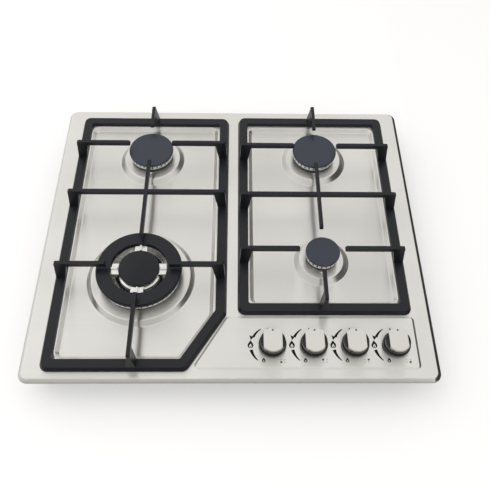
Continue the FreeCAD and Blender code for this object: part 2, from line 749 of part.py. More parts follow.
def make_igniters():
    igniters = []
    for burner in burners:
        x, y = burner.beside(burner.igniter_angle)
        top = sensor_top(burner)
        neck = burner.dome_z
        ceramic = turned([(0, 44), (2.2, 44), (igniter_radius, 46), (igniter_radius, top - 4),
                          (1.8, top - 2.6), (0.8, top - 2.4), (0.8, top), (0, top)], x, y)
        collar = turned([(2.0, neck - sheet - 3), (collar_width, neck - sheet - 3),
                         (collar_width, neck - sheet), (2.0, neck - sheet)], x, y)
        igniters.append(ceramic.fuse(collar).removeSplitter())
    save("igniters", igniters)


def thermocouple_routes():
    """Lead of each flame sensor, along the floor of the box to the tap that it serves."""
    lane = thermocouple_lane_z
    order = {wok: (0, knob_y), rear_left: (1, knob_y - 12), rear_right: (2, knob_y + 12),
             front_right: (3, None)}
    routes = []
    for burner, (tap, lane_y) in order.items():
        x, y = burner.beside(burner.sensor_angle)
        tap_x = knob_xs[tap]
        points = [V(x, y, burner.dome_z - 8), V(x, y, lane)]
        if lane_y is None:
            points += [V(tap_x, y, lane)]
        else:
            points += [V(x, lane_y, lane), V(tap_x, lane_y, lane)]
        if lane_y != knob_y:
            points += [V(tap_x, knob_y, lane)]
        points += [V(tap_x, knob_y, 16.0)]
        routes.append((burner, points))
    return routes


def make_thermocouples():
    sensors = []
    for burner, points in thermocouple_routes():
        x, y = points[0].x, points[0].y
        top = sensor_top(burner) - 1.0
        low = burner.dome_z - 8
        neck = burner.dome_z - sheet
        tip = turned([(0, low), (collar_width, low), (collar_width, neck - 0.5), (sensor_radius, neck),
                      (sensor_radius, top - 2), (1.2, top), (0, top)], x, y)
        sensors.append(tip.fuse(tube(points, lead_radius, 4.0)))
    save("thermocouples", sensors)


module_x = (-30.0, 40.0)
module_y = (176.0, 214.0)
module_top_z = 32.0


def make_ignition_module():
    body = box(*module_x, *module_y, box_sheet, module_top_z)
    body = body.makeChamfer(1.0, [e for e in body.Edges if e.BoundBox.ZMin > module_top_z - 0.1])
    ribs = [box(module_x[0] + 6 + 12 * index, module_x[0] + 12 + 12 * index, module_y[0] + 6, module_y[1] - 6,
                module_top_z, module_top_z + 1.5) for index in range(5)]
    save("ignition_module", fuse([body] + ribs))


def make_ignition_leads():
    lane = lead_lane_z
    leads = []
    for burner in burners:
        x, y = burner.beside(burner.igniter_angle)
        points = [V(x, y, 44), V(x, y, lane)]
        if burner in (rear_left, rear_right):
            points += [V(module_x[0] if burner is rear_left else module_x[1], y, lane)]
        else:
            column = -20.0 if burner is wok else 20.0
            points += [V(column, y, lane), V(column, module_y[0], lane)]
        leads.append(tube(points, lead_radius, 4.0))
    start_x = knob_xs[-1] + 10
    harness_z = switch_low_z - 2
    harness = [V(start_x, switch_y, harness_z), V(10, switch_y, harness_z), V(10, switch_y, lane),
               V(10, module_y[0], lane)]
    leads.append(tube(harness, 1.5, 6.0))
    save("ignition_leads", leads)


switch_y = knob_y - tap_radius - 4.5
switch_low_z = 44.0


def make_ignition_switches():
    switches = []
    for x in knob_xs:
        body = box(x - 9, x + 9, switch_y - 4.5, switch_y + 4.5, switch_low_z, switch_low_z + 10)
        lever = box(x - 8, x + 6, switch_y - 2, switch_y + 2, switch_low_z + 10, switch_low_z + 10.8)
        pin = box(x - 6, x - 4, switch_y - 1, switch_y + 1, switch_low_z - 0.5, switch_low_z)
        switches.append(fuse([body, lever, pin]))
    save("ignition_switches", switches)


def make_gland():
    """Grommet in the rear wall where a mains lead would enter."""
    y = box_rear_y
    axis = V(0, 1, 0)
    sleeve = Part.makeCylinder(8.0, 12.0, V(gland_x, y - 6, gland_z), axis)
    front = Part.makeCylinder(11.0, 3.0, V(gland_x, y, gland_z), axis)
    back = Part.makeCylinder(10.0, 2.0, V(gland_x, y - box_sheet - 2.0, gland_z), axis)
    bore = Part.makeCylinder(gland_bore, 20.0, V(gland_x, y - 8, gland_z), axis)
    save("cable_gland", fuse([sleeve, front, back]).cut(bore))


# ---- gas ------------------------------------------------------------------------------
def make_rail():
    points = [V(knob_first_x - 14, rail_y, rail_z), V(rail_side_x, rail_y, rail_z),
              V(rail_side_x, box_rear_y - 10, rail_z)]
    outer = tube(points, rail_radius, rail_bend)
    points[0] = points[0] + V(2, 0, 0)
    rail = outer.cut(tube(points, rail_radius - 1.5, rail_bend))
    for x in knob_xs:
        rail = rail.cut(rod(V(x, rail_y - 9, rail_z), V(x, rail_y - 3, rail_z), 2.5))
    save("gas_rail", rail)
    seats = []
    for x in (knob_xs[0] + 29, knob_xs[2] + 29):
        seat = box(x - 6, x + 6, rail_y - 10, rail_y + 10, box_sheet, rail_z)
        window = box(x - 7, x + 7, rail_y - 8.5, rail_y + 8.5, box_sheet + 1.5, rail_z - 9.5)
        cradle = rod(V(x - 9, rail_y, rail_z), V(x + 9, rail_y, rail_z), rail_radius)
        seats.append(seat.cut(window).cut(cradle))
    y = 100.0
    seat = box(rail_side_x - 10, rail_side_x + 10, y - 6, y + 6, box_sheet, rail_z)
    window = box(rail_side_x - 8.5, rail_side_x + 8.5, y - 7, y + 7, box_sheet + 1.5, rail_z - 9.5)
    cradle = rod(V(rail_side_x, y - 9, rail_z), V(rail_side_x, y + 9, rail_z), rail_radius)
    seats.append(seat.cut(window).cut(cradle))
    save("rail_brackets", seats)


def make_inlet():
    def ring(radius, y0, y1):
        return rod(V(rail_side_x, y0, rail_z), V(rail_side_x, y1, rail_z), radius)

    hex_length = 14.0
    flats = hexagon(24.0, 0, hex_length)
    flats.rotate(V(0, 0, 0), UP, 30)
    flats.rotate(V(0, 0, 0), V(1, 0, 0), -90)
    flats.translate(V(rail_side_x, box_rear_y - box_sheet - hex_length, rail_z))
    neck = ring(inlet_neck_radius, box_rear_y - box_sheet - 1, inlet_thread_y)
    fitting = fuse([flats, neck, ring(inlet_radius, inlet_thread_y, inlet_end_y)])
    fitting = fitting.cut(ring(rail_radius, box_rear_y - 20, box_rear_y - 10))
    fitting = fitting.cut(ring(6.5, box_rear_y - 20, inlet_end_y + 1))
    save("gas_inlet_fitting", fitting.removeSplitter())


def make_pipes():
    start = knob_y + tap_radius + 3
    z = pipe_z

    def cup_end(burner):
        side = burner.gas_side
        return V(burner.x + side[0] * 24, burner.y + side[1] * 24, z)

    lanes = [knob_y + 42, knob_y + 56, knob_y + 72]
    routes = {
        "wok": [V(knob_xs[0], start, z), V(knob_xs[0], lanes[0], z), V(wok.x, lanes[0], z), cup_end(wok)],
        "rear_left": [V(knob_xs[1], start, z), V(knob_xs[1], lanes[1], z), V(20, lanes[1], z),
                      V(20, rear_left.y, z), cup_end(rear_left)],
        "rear_right": [V(knob_xs[2], start, z), V(knob_xs[2], lanes[2], z), V(80, lanes[2], z),
                       V(80, rear_right.y, z), cup_end(rear_right)],
        "front_right": [V(knob_xs[3], start, z), V(knob_xs[3], front_right.y, z), cup_end(front_right)],
    }
    save("gas_pipes", [tube(points, pipe_radius, pipe_bend) for points in routes.values()])


# ---- taps and knobs -------------------------------------------------------------------
tap_low_z = 16.0
plug_low_z, plug_top_z = 28.0, 45.5
plug_radius = 7.0
collar_z = (51.0, 52.5)
collar_radius = 5.2
tap_top_z = 56.0
spindle_low_z = 36.0
spindle_top_z = knob_bottom_z + 11.0
flat_offset = 2.0


def d_shaft(radius, z0, z1, flat):
    """Round bar with one flat side, facing -Y."""
    return disc(radius, z0, z1).cut(box(-10, 10, -10, -flat, z0 - 1, z1 + 1))


def make_tap(index, x):
    place = V(x, knob_y, 0)
    gap = running_gap
    body = disc(tap_radius, tap_low_z, tap_top_z)
    outlet = rod(V(0, tap_radius - 3, pipe_z), V(0, tap_radius + 13, pipe_z), 6.0)
    saddle = box(-9, 9, 5, rail_y - knob_y, rail_z - 6, rail_z + 6)
    body = fuse([body, outlet, saddle])
    rail_bore = rod(V(-15, rail_y - knob_y, rail_z), V(15, rail_y - knob_y, rail_z), rail_radius)
    inside = [
        rail_bore,
        disc(plug_radius + gap, plug_low_z - gap, plug_top_z + gap),
        disc(collar_radius + 0.6, plug_top_z, collar_z[1] + gap),
        disc(spindle_radius + gap, collar_z[1], tap_top_z + 1),
        rod(V(0, tap_radius + 3, pipe_z), V(0, tap_radius + 14, pipe_z), pipe_radius),
        rod(V(0, 5, pipe_z), V(0, tap_radius + 4, pipe_z), 1.8),
        rod(V(0, 10, rail_z), V(0, 20, rail_z), 2.5),
    ]
    for hollow in inside:
        body = body.cut(hollow)
    plug = disc(plug_radius, plug_low_z, plug_top_z)
    plug = plug.cut(d_shaft(spindle_radius + gap, spindle_low_z - push_travel - 1, plug_top_z + 1,
                            flat_offset + gap))
    plug = plug.cut(rod(V(0, 0, pipe_z - 8), V(0, 9, pipe_z - 8), 1.8))
    spindle = d_shaft(spindle_radius, spindle_low_z, spindle_top_z, flat_offset)
    collar = disc(collar_radius, *collar_z)
    spindle = fuse([spindle, collar])
    for name, solid in (("body", body), ("plug", plug), ("spindle", spindle)):
        solid.translate(place)
        save("tap_%d_%s" % (index + 1, name), solid)


def make_springs():
    """Return springs of square wire between each plug and the collar of its spindle."""
    springs = []
    wire = 0.35
    low = plug_top_z + 0.2 + wire
    high = collar_z[0] - wire - 0.05
    mean_radius = spindle_radius + 1.1
    turns = 3
    for x in knob_xs:
        helix = Part.makeHelix((high - low) / turns, high - low, mean_radius)
        helix.translate(V(0, 0, low))
        corners = [V(mean_radius + dx * wire, 0, low + dz * wire)
                   for dx, dz in ((-1, -1), (1, -1), (1, 1), (-1, 1), (-1, -1))]
        spring = Part.Wire(helix).makePipeShell([Part.makePolygon(corners)], True, True)
        spring.translate(V(x, knob_y, 0))
        springs.append(spring)
    save("tap_springs", springs)


def make_seals():
    seals = []
    for x in knob_xs:
        bore = spindle_radius + 0.3
        seals.append(turned([(bore, panel_z - 3), (6.5, panel_z - 3), (spindle_hole_radius, panel_z - sheet),
                             (spindle_hole_radius, panel_z), (9.5, panel_z), (9.0, panel_z + 1.0),
                             (5.0, panel_z + 2.0), (bore, panel_z + 2.0)], x, knob_y))
    save("spindle_seals", seals)


def make_knob(index, x):
    place = V(x, knob_y, 0)
    low, top = knob_bottom_z, knob_top_z
    ring_low, ring_top = low + 3.0, low + 8.0
    crescent_top = top - 5.0
    hollow_top = low + 5.0
    boss = disc(5.5, low + 2.5, hollow_top)
    body = turned([(0, hollow_top - 1), (12, hollow_top - 1), (13.5, low), (skirt_radius - 0.6, low),
                   (skirt_radius, low + 0.6), (skirt_radius, low + 2.2), (skirt_radius - 0.7, ring_low),
                   (16.4, ring_low), (16.4, ring_top), (17.8, ring_top), (17.8, crescent_top - 0.8),
                   (17.0, crescent_top), (0, crescent_top)])
    body = body.fuse(boss)
    half = grip_width / 2
    body = body.cut(box(-half, half, -25, 25, ring_top, top + 5))
    body = body.cut(d_shaft(spindle_radius, low - 1, spindle_top_z, flat_offset))
    ring = turned([(16.4, ring_low), (ring_radius, ring_low), (ring_radius, ring_top - 0.4),
                   (ring_radius - 0.4, ring_top), (16.4, ring_top)])
    bar_solid = box(-half, half, -25, 25, ring_top, top).common(disc(grip_radius, ring_top, top))
    rear_slope = [V(-30, 11.5, top), V(-30, 25, top - 5.2), V(-30, 25, top + 5), V(-30, 11.5, top + 5)]
    front_slope = [V(-30, -11.0, top), V(-30, -25, top + 5), V(-30, -25, top - 7.0)]
    for slope in (rear_slope, front_slope):
        bar_solid = bar_solid.cut(Part.Face(Part.makePolygon(slope + [slope[0]])).extrude(V(60, 0, 0)))
    long_edges = [edge for edge in bar_solid.Edges
                  if edge.BoundBox.ZMin > ring_top + 3 and abs(edge.CenterOfMass.x) > half - 0.1]
    bar_solid = bar_solid.makeFillet(0.8, long_edges)
    grip = ring.fuse(bar_solid)
    grip = grip.cut(d_shaft(spindle_radius, low, spindle_top_z, flat_offset))
    for name, solid in (("base", body), ("grip", grip)):
        solid.translate(place)
        save("knob_%d_%s" % (index + 1, name), solid)


# ---- all of it ------------------------------------------------------------------------
os.makedirs("parts", exist_ok=True)
make_top_plate()
make_box()
make_box_fixings()
make_rim_seal()
make_clamps()
make_left_support()
make_right_support()
for burner in burners:
    make_cup(burner)
make_injectors()
make_head(rear_left, 30)
make_head(rear_right, 30)
make_head(front_right, 22)
make_wok_head(wok)
for burner in (rear_left, rear_right, front_right):
    make_cap(burner)
make_wok_caps(wok)
make_burner_screws()
make_igniters()
make_thermocouples()
make_ignition_module()
make_ignition_leads()
make_ignition_switches()
make_gland()
make_rail()
make_inlet()
make_pipes()
for knob_index, knob_x in enumerate(knob_xs):
    make_tap(knob_index, knob_x)
    make_knob(knob_index, knob_x)
make_springs()
make_seals()
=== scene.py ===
import json
import math

import bpy
from bpy.props import FloatProperty, FloatVectorProperty, PointerProperty
from bpy.types import Operator, Panel, PropertyGroup
from mathutils import Matrix, Vector


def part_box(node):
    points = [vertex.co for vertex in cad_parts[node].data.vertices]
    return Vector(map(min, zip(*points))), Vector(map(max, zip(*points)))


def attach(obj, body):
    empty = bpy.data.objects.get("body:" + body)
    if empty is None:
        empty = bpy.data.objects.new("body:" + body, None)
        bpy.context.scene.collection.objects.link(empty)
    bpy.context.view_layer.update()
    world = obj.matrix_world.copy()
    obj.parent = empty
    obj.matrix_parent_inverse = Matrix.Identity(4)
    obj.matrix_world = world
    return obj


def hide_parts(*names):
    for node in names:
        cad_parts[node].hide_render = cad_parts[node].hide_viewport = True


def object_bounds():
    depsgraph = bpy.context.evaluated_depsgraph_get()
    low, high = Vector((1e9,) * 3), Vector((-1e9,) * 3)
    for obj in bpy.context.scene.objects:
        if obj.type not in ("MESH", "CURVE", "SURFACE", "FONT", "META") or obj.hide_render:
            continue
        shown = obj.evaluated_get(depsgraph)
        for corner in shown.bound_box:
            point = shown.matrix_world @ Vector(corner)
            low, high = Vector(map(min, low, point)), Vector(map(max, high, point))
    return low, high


bl_info = {
    "name": "Gas hob finisher",
    "version": (1, 0, 0),
    "blender": (4, 5, 0),
    "location": "View3D > Sidebar > Hob",
    "description": "Models and finishes the visible pieces of a built-in gas hob round its frame",
    "category": "Object",
}

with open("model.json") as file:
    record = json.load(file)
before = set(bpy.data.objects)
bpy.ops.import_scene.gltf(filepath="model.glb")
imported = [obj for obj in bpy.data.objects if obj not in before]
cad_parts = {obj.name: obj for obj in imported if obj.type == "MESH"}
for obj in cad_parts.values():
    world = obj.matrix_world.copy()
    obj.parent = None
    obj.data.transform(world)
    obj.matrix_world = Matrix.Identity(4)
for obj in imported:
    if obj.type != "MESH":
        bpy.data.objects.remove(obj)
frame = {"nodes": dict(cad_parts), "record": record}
cad_low, cad_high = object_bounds()

MM = 0.001
TURN = 2 * math.pi
ROUND_STEPS = 96

SUPPORTS = ("left", "right")
SMALL_BURNERS = ("rear_left", "rear_right", "front_right")
KNOBS = (1, 2, 3, 4)

CORNER_STEPS = 8
CAST_EDGE = 0.35 * MM

PLATE_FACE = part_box("left_support_feet")[0].z
SUPPORT_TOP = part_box("left_support_fingers")[1].z
PANEL_RISE = 1.5


# ---- sizes and finishes ---------------------------------------------------------------
def length(name, description, millimetres):
    return FloatProperty(name=name, description=description, default=millimetres * MM, unit="LENGTH",
                         precision=4)


def colour(name, description, value):
    return FloatVectorProperty(name=name, description=description, default=value, subtype="COLOR",
                               size=3, min=0.0, max=1.0)


class HobPlate(PropertyGroup):
    sheet: length("Sheet", "Thickness of the steel sheet", 1.0)
    corner: length("Corner", "Radius of the plate's corners", 14.0)
    rim_bevel: length("Rim width", "Width of the sloping edge", 5.0)
    rim_drop: length("Rim drop", "Height of the sloping edge", 4.0)
    well_corner: length("Well corner", "Radius of the wells' corners", 12.0)
    well_depth: length("Well depth", "Depth of the wells, and width of their slopes", 6.0)
    fold: length("Fold", "Width of the rounded folds in the sheet", 1.6)
    panel_rise: length("Panel rise", "Height of the raised control area", PANEL_RISE)
    panel_slope: length("Panel slope", "Width of the control area's sloping edge", 2.3)


class HobSupport(PropertyGroup):
    frame_width: length("Frame width", "Width of the flat top of a support's frame", 13.0)
    frame_spread: length("Frame spread", "How far a frame's outer side slopes out below", 3.0)
    frame_corner: length("Frame corner", "Radius of a frame's outer corners", 9.0)
    finger_width: length("Finger width", "Width of a finger", 5.5)
    finger_height: length("Finger height", "Height of a finger's bar", 7.5)
    leg_width: length("Leg width", "Width of a leg along the frame", 14.0)
    leg_depth: length("Leg depth", "Depth of a leg across the frame", 13.3)
    leg_flare: length("Leg flare", "How much deeper a leg is under its bar", 5.5)
    leg_lean: length("Leg lean", "How far a leg's outer side leans inwards", 1.5)
    tip_upper: length("Upper tip", "Bevel on top of a finger's free end", 2.6)
    tip_lower: length("Lower tip", "Bevel under a finger's free end", 1.4)
    foot: length("Foot", "Bevel on top of a finger's outer end", 2.0)
    soft: length("Soft edges", "Radius of the enamelled edges", 1.0)


class HobKnob(PropertyGroup):
    grip_width: length("Grip width", "Width of the grip bar", 26.0)
    flat: length("Flat", "Half the length of the grip's flat top", 11.2)
    skirt_height: length("Skirt height", "Height of the black skirt", 3.0)
    ring_height: length("Ring height", "Height of the silver ring", 1.4)
    grip_height: length("Grip height", "Height of the silver grip bar", 6.0)
    sink: length("Sink", "How deep the grip sits in the black body", 1.0)
    rear_slope: FloatProperty(name="Rear slope", description="Fall of the grip's top behind", default=0.22)
    front_slope: FloatProperty(name="Front slope", description="Fall of the grip's top in front",
                               default=0.22)


class HobFinish(PropertyGroup):
    steel: colour("Steel", "Brushed stainless sheet", (0.84, 0.83, 0.795))
    enamel: colour("Enamel", "Matt black enamel of the supports", (0.008, 0.009, 0.013))
    # painted reflection: the blue in this near-black enamel colour stands for a cool sky reflected in the
    # caps
    cap: colour("Caps", "Blue-black enamel of the caps", (0.028, 0.034, 0.052))
    cast: colour("Castings", "Bright cast aluminium", (0.76, 0.755, 0.74))
    grip: colour("Grips", "Satin plating of the grips", (0.70, 0.685, 0.65))
    black: colour("Black plastic", "Polished plastic of the knobs", (0.012, 0.012, 0.014))
    ink: colour("Ink", "Printed marks", (0.012, 0.011, 0.011))


class HobStudio(PropertyGroup):
    world: FloatProperty(name="World", description="Level of the light from all round", default=0.62)
    lamp: FloatProperty(name="Lamps", description="Level of the soft lamps", default=1.0)


GROUPS = (HobPlate, HobSupport, HobKnob, HobFinish, HobStudio)


# ---- measures of the frame ------------------------------------------------------------
def round_box(name):
    """Lowest and highest corner of a round node, its centre and its radius."""
    low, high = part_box(name)
    return low, high, (low + high) / 2, (high.x - low.x) / 2


def middle(name):
    return round_box(name)[2]


def in_mm(name):
    """Radius and height of a round node, in mm."""
    low, high, _, radius = round_box(name)
    return radius / MM, (high.z - low.z) / MM


# ---- modelling by hand ----------------------------------------------------------------
def select_none():
    if bpy.context.mode != "OBJECT":
        bpy.ops.object.mode_set(mode="OBJECT")
    bpy.ops.object.select_all(action="DESELECT")


def select_only(piece):
    select_none()
    piece.select_set(True)
    bpy.context.view_layer.objects.active = piece


def edit(piece, kind):
    """Opens the piece for editing, with vertices or faces as what is picked."""
    select_only(piece)
    bpy.context.tool_settings.mesh_select_mode = (kind == "VERT", False, kind == "FACE")
    bpy.ops.object.mode_set(mode="EDIT")


def select_all():
    bpy.ops.mesh.select_all(action="SELECT")


def edit_all(piece, kind="FACE"):
    edit(piece, kind)
    select_all()


def done():
    bpy.ops.object.mode_set(mode="OBJECT")


def pick(piece, kind, wanted):
    """Opens the piece with only the vertices or faces selected that wanted(place, normal) keeps."""
    select_none()
    mesh = piece.data
    for items in (mesh.vertices, mesh.edges, mesh.polygons):
        items.foreach_set("select", [False] * len(items))
    if kind == "VERT":
        for vertex in mesh.vertices:
            vertex.select = wanted(vertex.co, vertex.normal)
    else:
        for face in mesh.polygons:
            face.select = wanted(face.center, face.normal)
    edit(piece, kind)


def primitive(name, kind, **values):
    """Adds one of Blender's own shapes, with its place and scale put into its mesh."""
    select_none()
    getattr(bpy.ops.mesh, "primitive_%s_add" % kind)(**values)
    piece = bpy.context.object
    piece.name = name
    bpy.ops.object.transform_apply()
    return piece


def pen(name, points):
    """Starts a piece as a line of vertices through points, each pulled out of the last. Leaves it open."""
    piece = primitive(name, "plane", size=MM, location=points[0])
    edit_all(piece, "VERT")
    bpy.ops.mesh.merge(type="CENTER")
    for before, after in zip(points, points[1:]):
        step = Vector(after) - Vector(before)
        bpy.ops.mesh.extrude_vertices_move(TRANSFORM_OT_translate={"value": step})
    return piece


def face_through(name, points):
    piece = pen(name, points)
    select_all()
    bpy.ops.mesh.edge_face_add()
    return piece


def outwards():
    """Turns every face of the open piece outwards."""
    select_all()
    bpy.ops.mesh.remove_doubles(threshold=0.002 * MM)
    bpy.ops.mesh.normals_make_consistent(inside=False)


def pull(step):
    bpy.ops.mesh.extrude_region_move(TRANSFORM_OT_translate={"value": step})


def taper(piece, facing, width, depth, rise=0.0):
    """Insets the face that looks up (facing 1) or down (-1) and moves it out, after a straight rise."""
    pick(piece, "FACE", lambda place, normal: normal.z * facing > 0.9)
    if rise:
        pull((0, 0, rise))
    bpy.ops.mesh.inset(thickness=width, depth=depth)
    outwards()
    done()


def turned(name, node, rows):
    """Turns (radius, height over the node's foot) rows in mm about a node's axis.

    The rows start and end on the axis, or else they are closed into a ring."""
    low, _, centre, _ = round_box(node)
    points = [(centre.x + radius * MM, centre.y, low.z + height * MM) for radius, height in rows]
    if rows[0][0] > 0:
        points.append(points[0])
    piece = pen(name, points)
    select_all()
    bpy.ops.mesh.spin(steps=ROUND_STEPS, angle=TURN, center=(centre.x, centre.y, 0), axis=(0, 0, 1))
    outwards()
    done()
    return piece


def prism(name, points, low, high, radius=0.0):
    """Upright prism over a polygon, with its upright edges rounded by radius."""
    piece = face_through(name, [(x, y, low) for x, y in points])
    if radius:
        for corner in points:
            round_corner(piece, corner, points, radius)
    edit_all(piece)
    pull((0, 0, high - low))
    outwards()
    done()
    return piece


def round_corner(piece, corner, points, radius):
    """Rounds one corner of a flat polygon."""
    index = points.index(corner)
    here = Vector(corner)
    back = (Vector(points[index - 1]) - here).normalized()
    ahead = (Vector(points[(index + 1) % len(points)]) - here).normalized()
    reach = radius / math.tan(back.angle(ahead) / 2)
    pick(piece, "VERT", lambda place, normal: (place.xy - here).length < MM / 10)
    bpy.ops.mesh.bevel(offset=reach, segments=CORNER_STEPS, affect="VERTICES")
    done()


def inwards(points, distance):
    """A counter-clockwise polygon with every side moved in."""
    moved = []
    for index, corner in enumerate(points):
        here = Vector(corner)
        before = (here - Vector(points[index - 1])).normalized()
        after = (Vector(points[(index + 1) % len(points)]) - here).normalized()
        side = Vector((-before.y - after.y, before.x + after.x))
        moved.append(tuple(here + side * (2 * distance / side.length_squared)))
    return moved


def block(name, low, high):
    """A box between two corners, from a cube."""
    low, high = Vector(low), Vector(high)
    return primitive(name, "cube", size=1, location=(low + high) / 2, scale=high - low)


def disc(name, centre, radius, low, high, steps):
    return primitive(name, "cylinder", vertices=steps, radius=radius, depth=high - low,
                     location=(centre[0], centre[1], (low + high) / 2))


def at(place, angle):
    """Matrix that turns by angle about Z and then moves to a place in plan."""
    return Matrix.Translation((place[0], place[1], 0)) @ Matrix.Rotation(angle, 4, "Z")


def join(name, pieces):
    select_only(pieces[0])
    for piece in pieces:
        piece.select_set(True)
    bpy.ops.object.join()
    pieces[0].name = name
    return pieces[0]


def apply(piece, modifier):
    select_only(piece)
    bpy.ops.object.modifier_apply(modifier=modifier.name)


def combine(piece, other, operation):
    modifier = piece.modifiers.new("combine", "BOOLEAN")
    modifier.operation = operation
    modifier.solver = "EXACT"
    modifier.object = other
    apply(piece, modifier)
    bpy.data.objects.remove(other)
    return piece


def soften(piece, width, segments, angle):
    """Rounds the piece's edges that are sharper than angle."""
    modifier = piece.modifiers.new("soft edges", "BEVEL")
    modifier.width = width
    modifier.segments = segments
    modifier.limit_method = "ANGLE"
    modifier.angle_limit = math.radians(angle)
    modifier.use_clamp_overlap = True
    apply(piece, modifier)
    return piece


def smooth(piece, angle=40.0):
    """Smooth shading with large flat faces kept flat."""
    select_only(piece)
    bpy.ops.object.shade_smooth_by_angle(angle=math.radians(angle))
    modifier = piece.modifiers.new("even light", "WEIGHTED_NORMAL")
    modifier.keep_sharp = True
    apply(piece, modifier)
    return piece


def twin(piece, name, step):
    """A copy of the piece with a mesh of its own, moved by step."""
    copy = piece.copy()
    copy.data = piece.data.copy()
    copy.name = name
    copy.data.transform(Matrix.Translation(step))
    bpy.context.scene.collection.objects.link(copy)
    return copy


def place_on(piece, body, finish, *nodes, slot=None):
    """Gives a finished piece its finish, its body, and the nodes that it stands for; the slot that it is
    given is not used.
    """
    piece.data.materials.clear()
    piece.data.materials.append(FINISHES[finish])
    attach(piece, body)
    if nodes:
        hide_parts(*nodes)


# ---- shared effects -------------------------------------------------------------------
def new_group(name, outputs, **scales):
    """An empty effect: a vector and those scales go in, and those values come out."""
    tree = bpy.data.node_groups.new(name, "ShaderNodeTree")
    tree.interface.new_socket(name="Vector", in_out="INPUT", socket_type="NodeSocketVector")
    for title, value in scales.items():
        made = tree.interface.new_socket(name=title, in_out="INPUT", socket_type="NodeSocketFloat")
        made.default_value = value
    for title in outputs:
        tree.interface.new_socket(name=title, in_out="OUTPUT", socket_type="NodeSocketFloat")
    return tree, tree.nodes.new("NodeGroupInput").outputs, tree.nodes.new("NodeGroupOutput").inputs


def link(tree, source, target):
    """Joins a socket, or a node's first output, to a socket."""
    if isinstance(source, bpy.types.Node):
        source = source.outputs[0]
    tree.links.new(source, target)


def node(tree, kind, inputs=None, **values):
    """Adds a node and sets its values and inputs. An input is a value, a socket or another node."""
    made = tree.nodes.new("ShaderNode" + kind)
    for key, value in values.items():
        setattr(made, key, value)
    for key, source in (inputs or {}).items():
        if isinstance(source, (bpy.types.Node, bpy.types.NodeSocket)):
            link(tree, source, made.inputs[key])
        else:
            made.inputs[key].default_value = source
    return made


def noise(tree, vector, scale, detail):
    return node(tree, "TexNoise", {"Vector": vector, "Scale": scale, "Detail": detail})


def times(tree, kind, first, second):
    return node(tree, kind, {0: first, 1: second}, operation="MULTIPLY")


def brushed_lines():
    """Fine lines along X, with a height and a light and dark value."""
    tree, given, result = new_group("Brushed lines", ("Height", "Value"), Lines=900.0, Length=9.0)
    across = node(tree, "CombineXYZ", {"X": given["Length"], "Y": given["Lines"], "Z": given["Length"]})
    stretched = times(tree, "VectorMath", given["Vector"], across)
    fine = noise(tree, stretched, 1.0, 3.0)
    bands = noise(tree, times(tree, "VectorMath", stretched, (0.35, 0.12, 0.12)), 1.0, 2.0)
    total = node(tree, "Math", {0: fine, 1: bands}, operation="ADD")
    link(tree, fine, result["Height"])
    link(tree, times(tree, "Math", total, 0.5), result["Value"])
    return tree


def fine_grain():
    """Speckle of enamel, castings and moulded plastic, with a height and a mask."""
    tree, given, result = new_group("Fine grain", ("Height", "Mask"), Scale=900.0, Clumps=60.0)
    clumps = noise(tree, given["Vector"], given["Clumps"], 3.0)
    mask = node(tree, "MapRange", {"Value": clumps, "From Min": 0.35, "From Max": 0.65})
    link(tree, noise(tree, given["Vector"], given["Scale"], 2.0), result["Height"])
    link(tree, mask, result["Mask"])
    return tree


def soft_patches():
    """Slow changes over a surface, as left by wiping and rolling."""
    tree, given, result = new_group("Soft patches", ("Mask",), Scale=7.0)
    cloud = noise(tree, given["Vector"], given["Scale"], 2.0)
    mask = node(tree, "MapRange", {"Value": cloud, "From Min": 0.3, "From Max": 0.7})
    link(tree, mask, result["Mask"])
    return tree


class Finish:
    """A material being built: its tree, shader, object coordinates and named effects."""
    effects = {}

    def __init__(self, name, base, roughness, metallic=0.0, **shader):
        self.material = bpy.data.materials.new(name)
        self.material.use_nodes = True
        self.tree = self.material.node_tree
        self.shader = self.tree.nodes["Principled BSDF"]
        self.set("Base Color", (*base, 1.0))
        self.set("Roughness", roughness)
        self.set("Metallic", metallic)
        for key, value in shader.items():
            self.set(key.replace("_", " "), value)
        self.base = base
        self.place = self.node("TexCoord").outputs["Object"]

    def set(self, key, value):
        self.shader.inputs[key].default_value = value

    def node(self, kind, inputs=None, **values):
        return node(self.tree, kind, inputs, **values)

    def feed(self, source, target):
        link(self.tree, source, self.shader.inputs[target])

    def effect(self, make, **values):
        if make not in Finish.effects:
            Finish.effects[make] = make()
        made = self.tree.nodes.new("ShaderNodeGroup")
        made.node_tree = Finish.effects[make]
        link(self.tree, self.place, made.inputs["Vector"])
        for key, value in values.items():
            made.inputs[key].default_value = value
        return made

    def between(self, mask, low, high, target):
        """Feeds a shader input with values from low to high by mask."""
        self.feed(self.node("MapRange", {"Value": mask, "To Min": low, "To Max": high}), target)

    def tint(self, mask, factor):
        """Varies the base colour towards factor times itself."""
        other = tuple(channel * factor for channel in self.base)
        mix = self.node("Mix", {"Factor": mask}, data_type="RGBA")
        mix.inputs[6].default_value = (*self.base, 1.0)
        mix.inputs[7].default_value = (*other, 1.0)
        self.feed(mix.outputs[2], "Base Color")

    def bump(self, height, strength, distance):
        made = self.node("Bump", {"Height": height, "Strength": strength, "Distance": distance})
        self.feed(made, "Normal")


def brushed_steel(name, base, roughness, lines, anisotropic=0.0):
    finish = Finish(name, base, roughness, 1.0, Anisotropic=anisotropic)
    brush = finish.effect(brushed_lines, Lines=lines)
    patches = finish.effect(soft_patches)
    finish.tint(brush.outputs["Value"], 0.95)
    finish.between(patches.outputs["Mask"], roughness - 0.04, roughness + 0.05, "Roughness")
    finish.bump(brush.outputs["Height"], 0.25, 0.03 * MM)
    if anisotropic:
        finish.feed(finish.node("Tangent", direction_type="UV_MAP"), "Tangent")
        finish.set("Anisotropic Rotation", 0.25)
    return finish.material


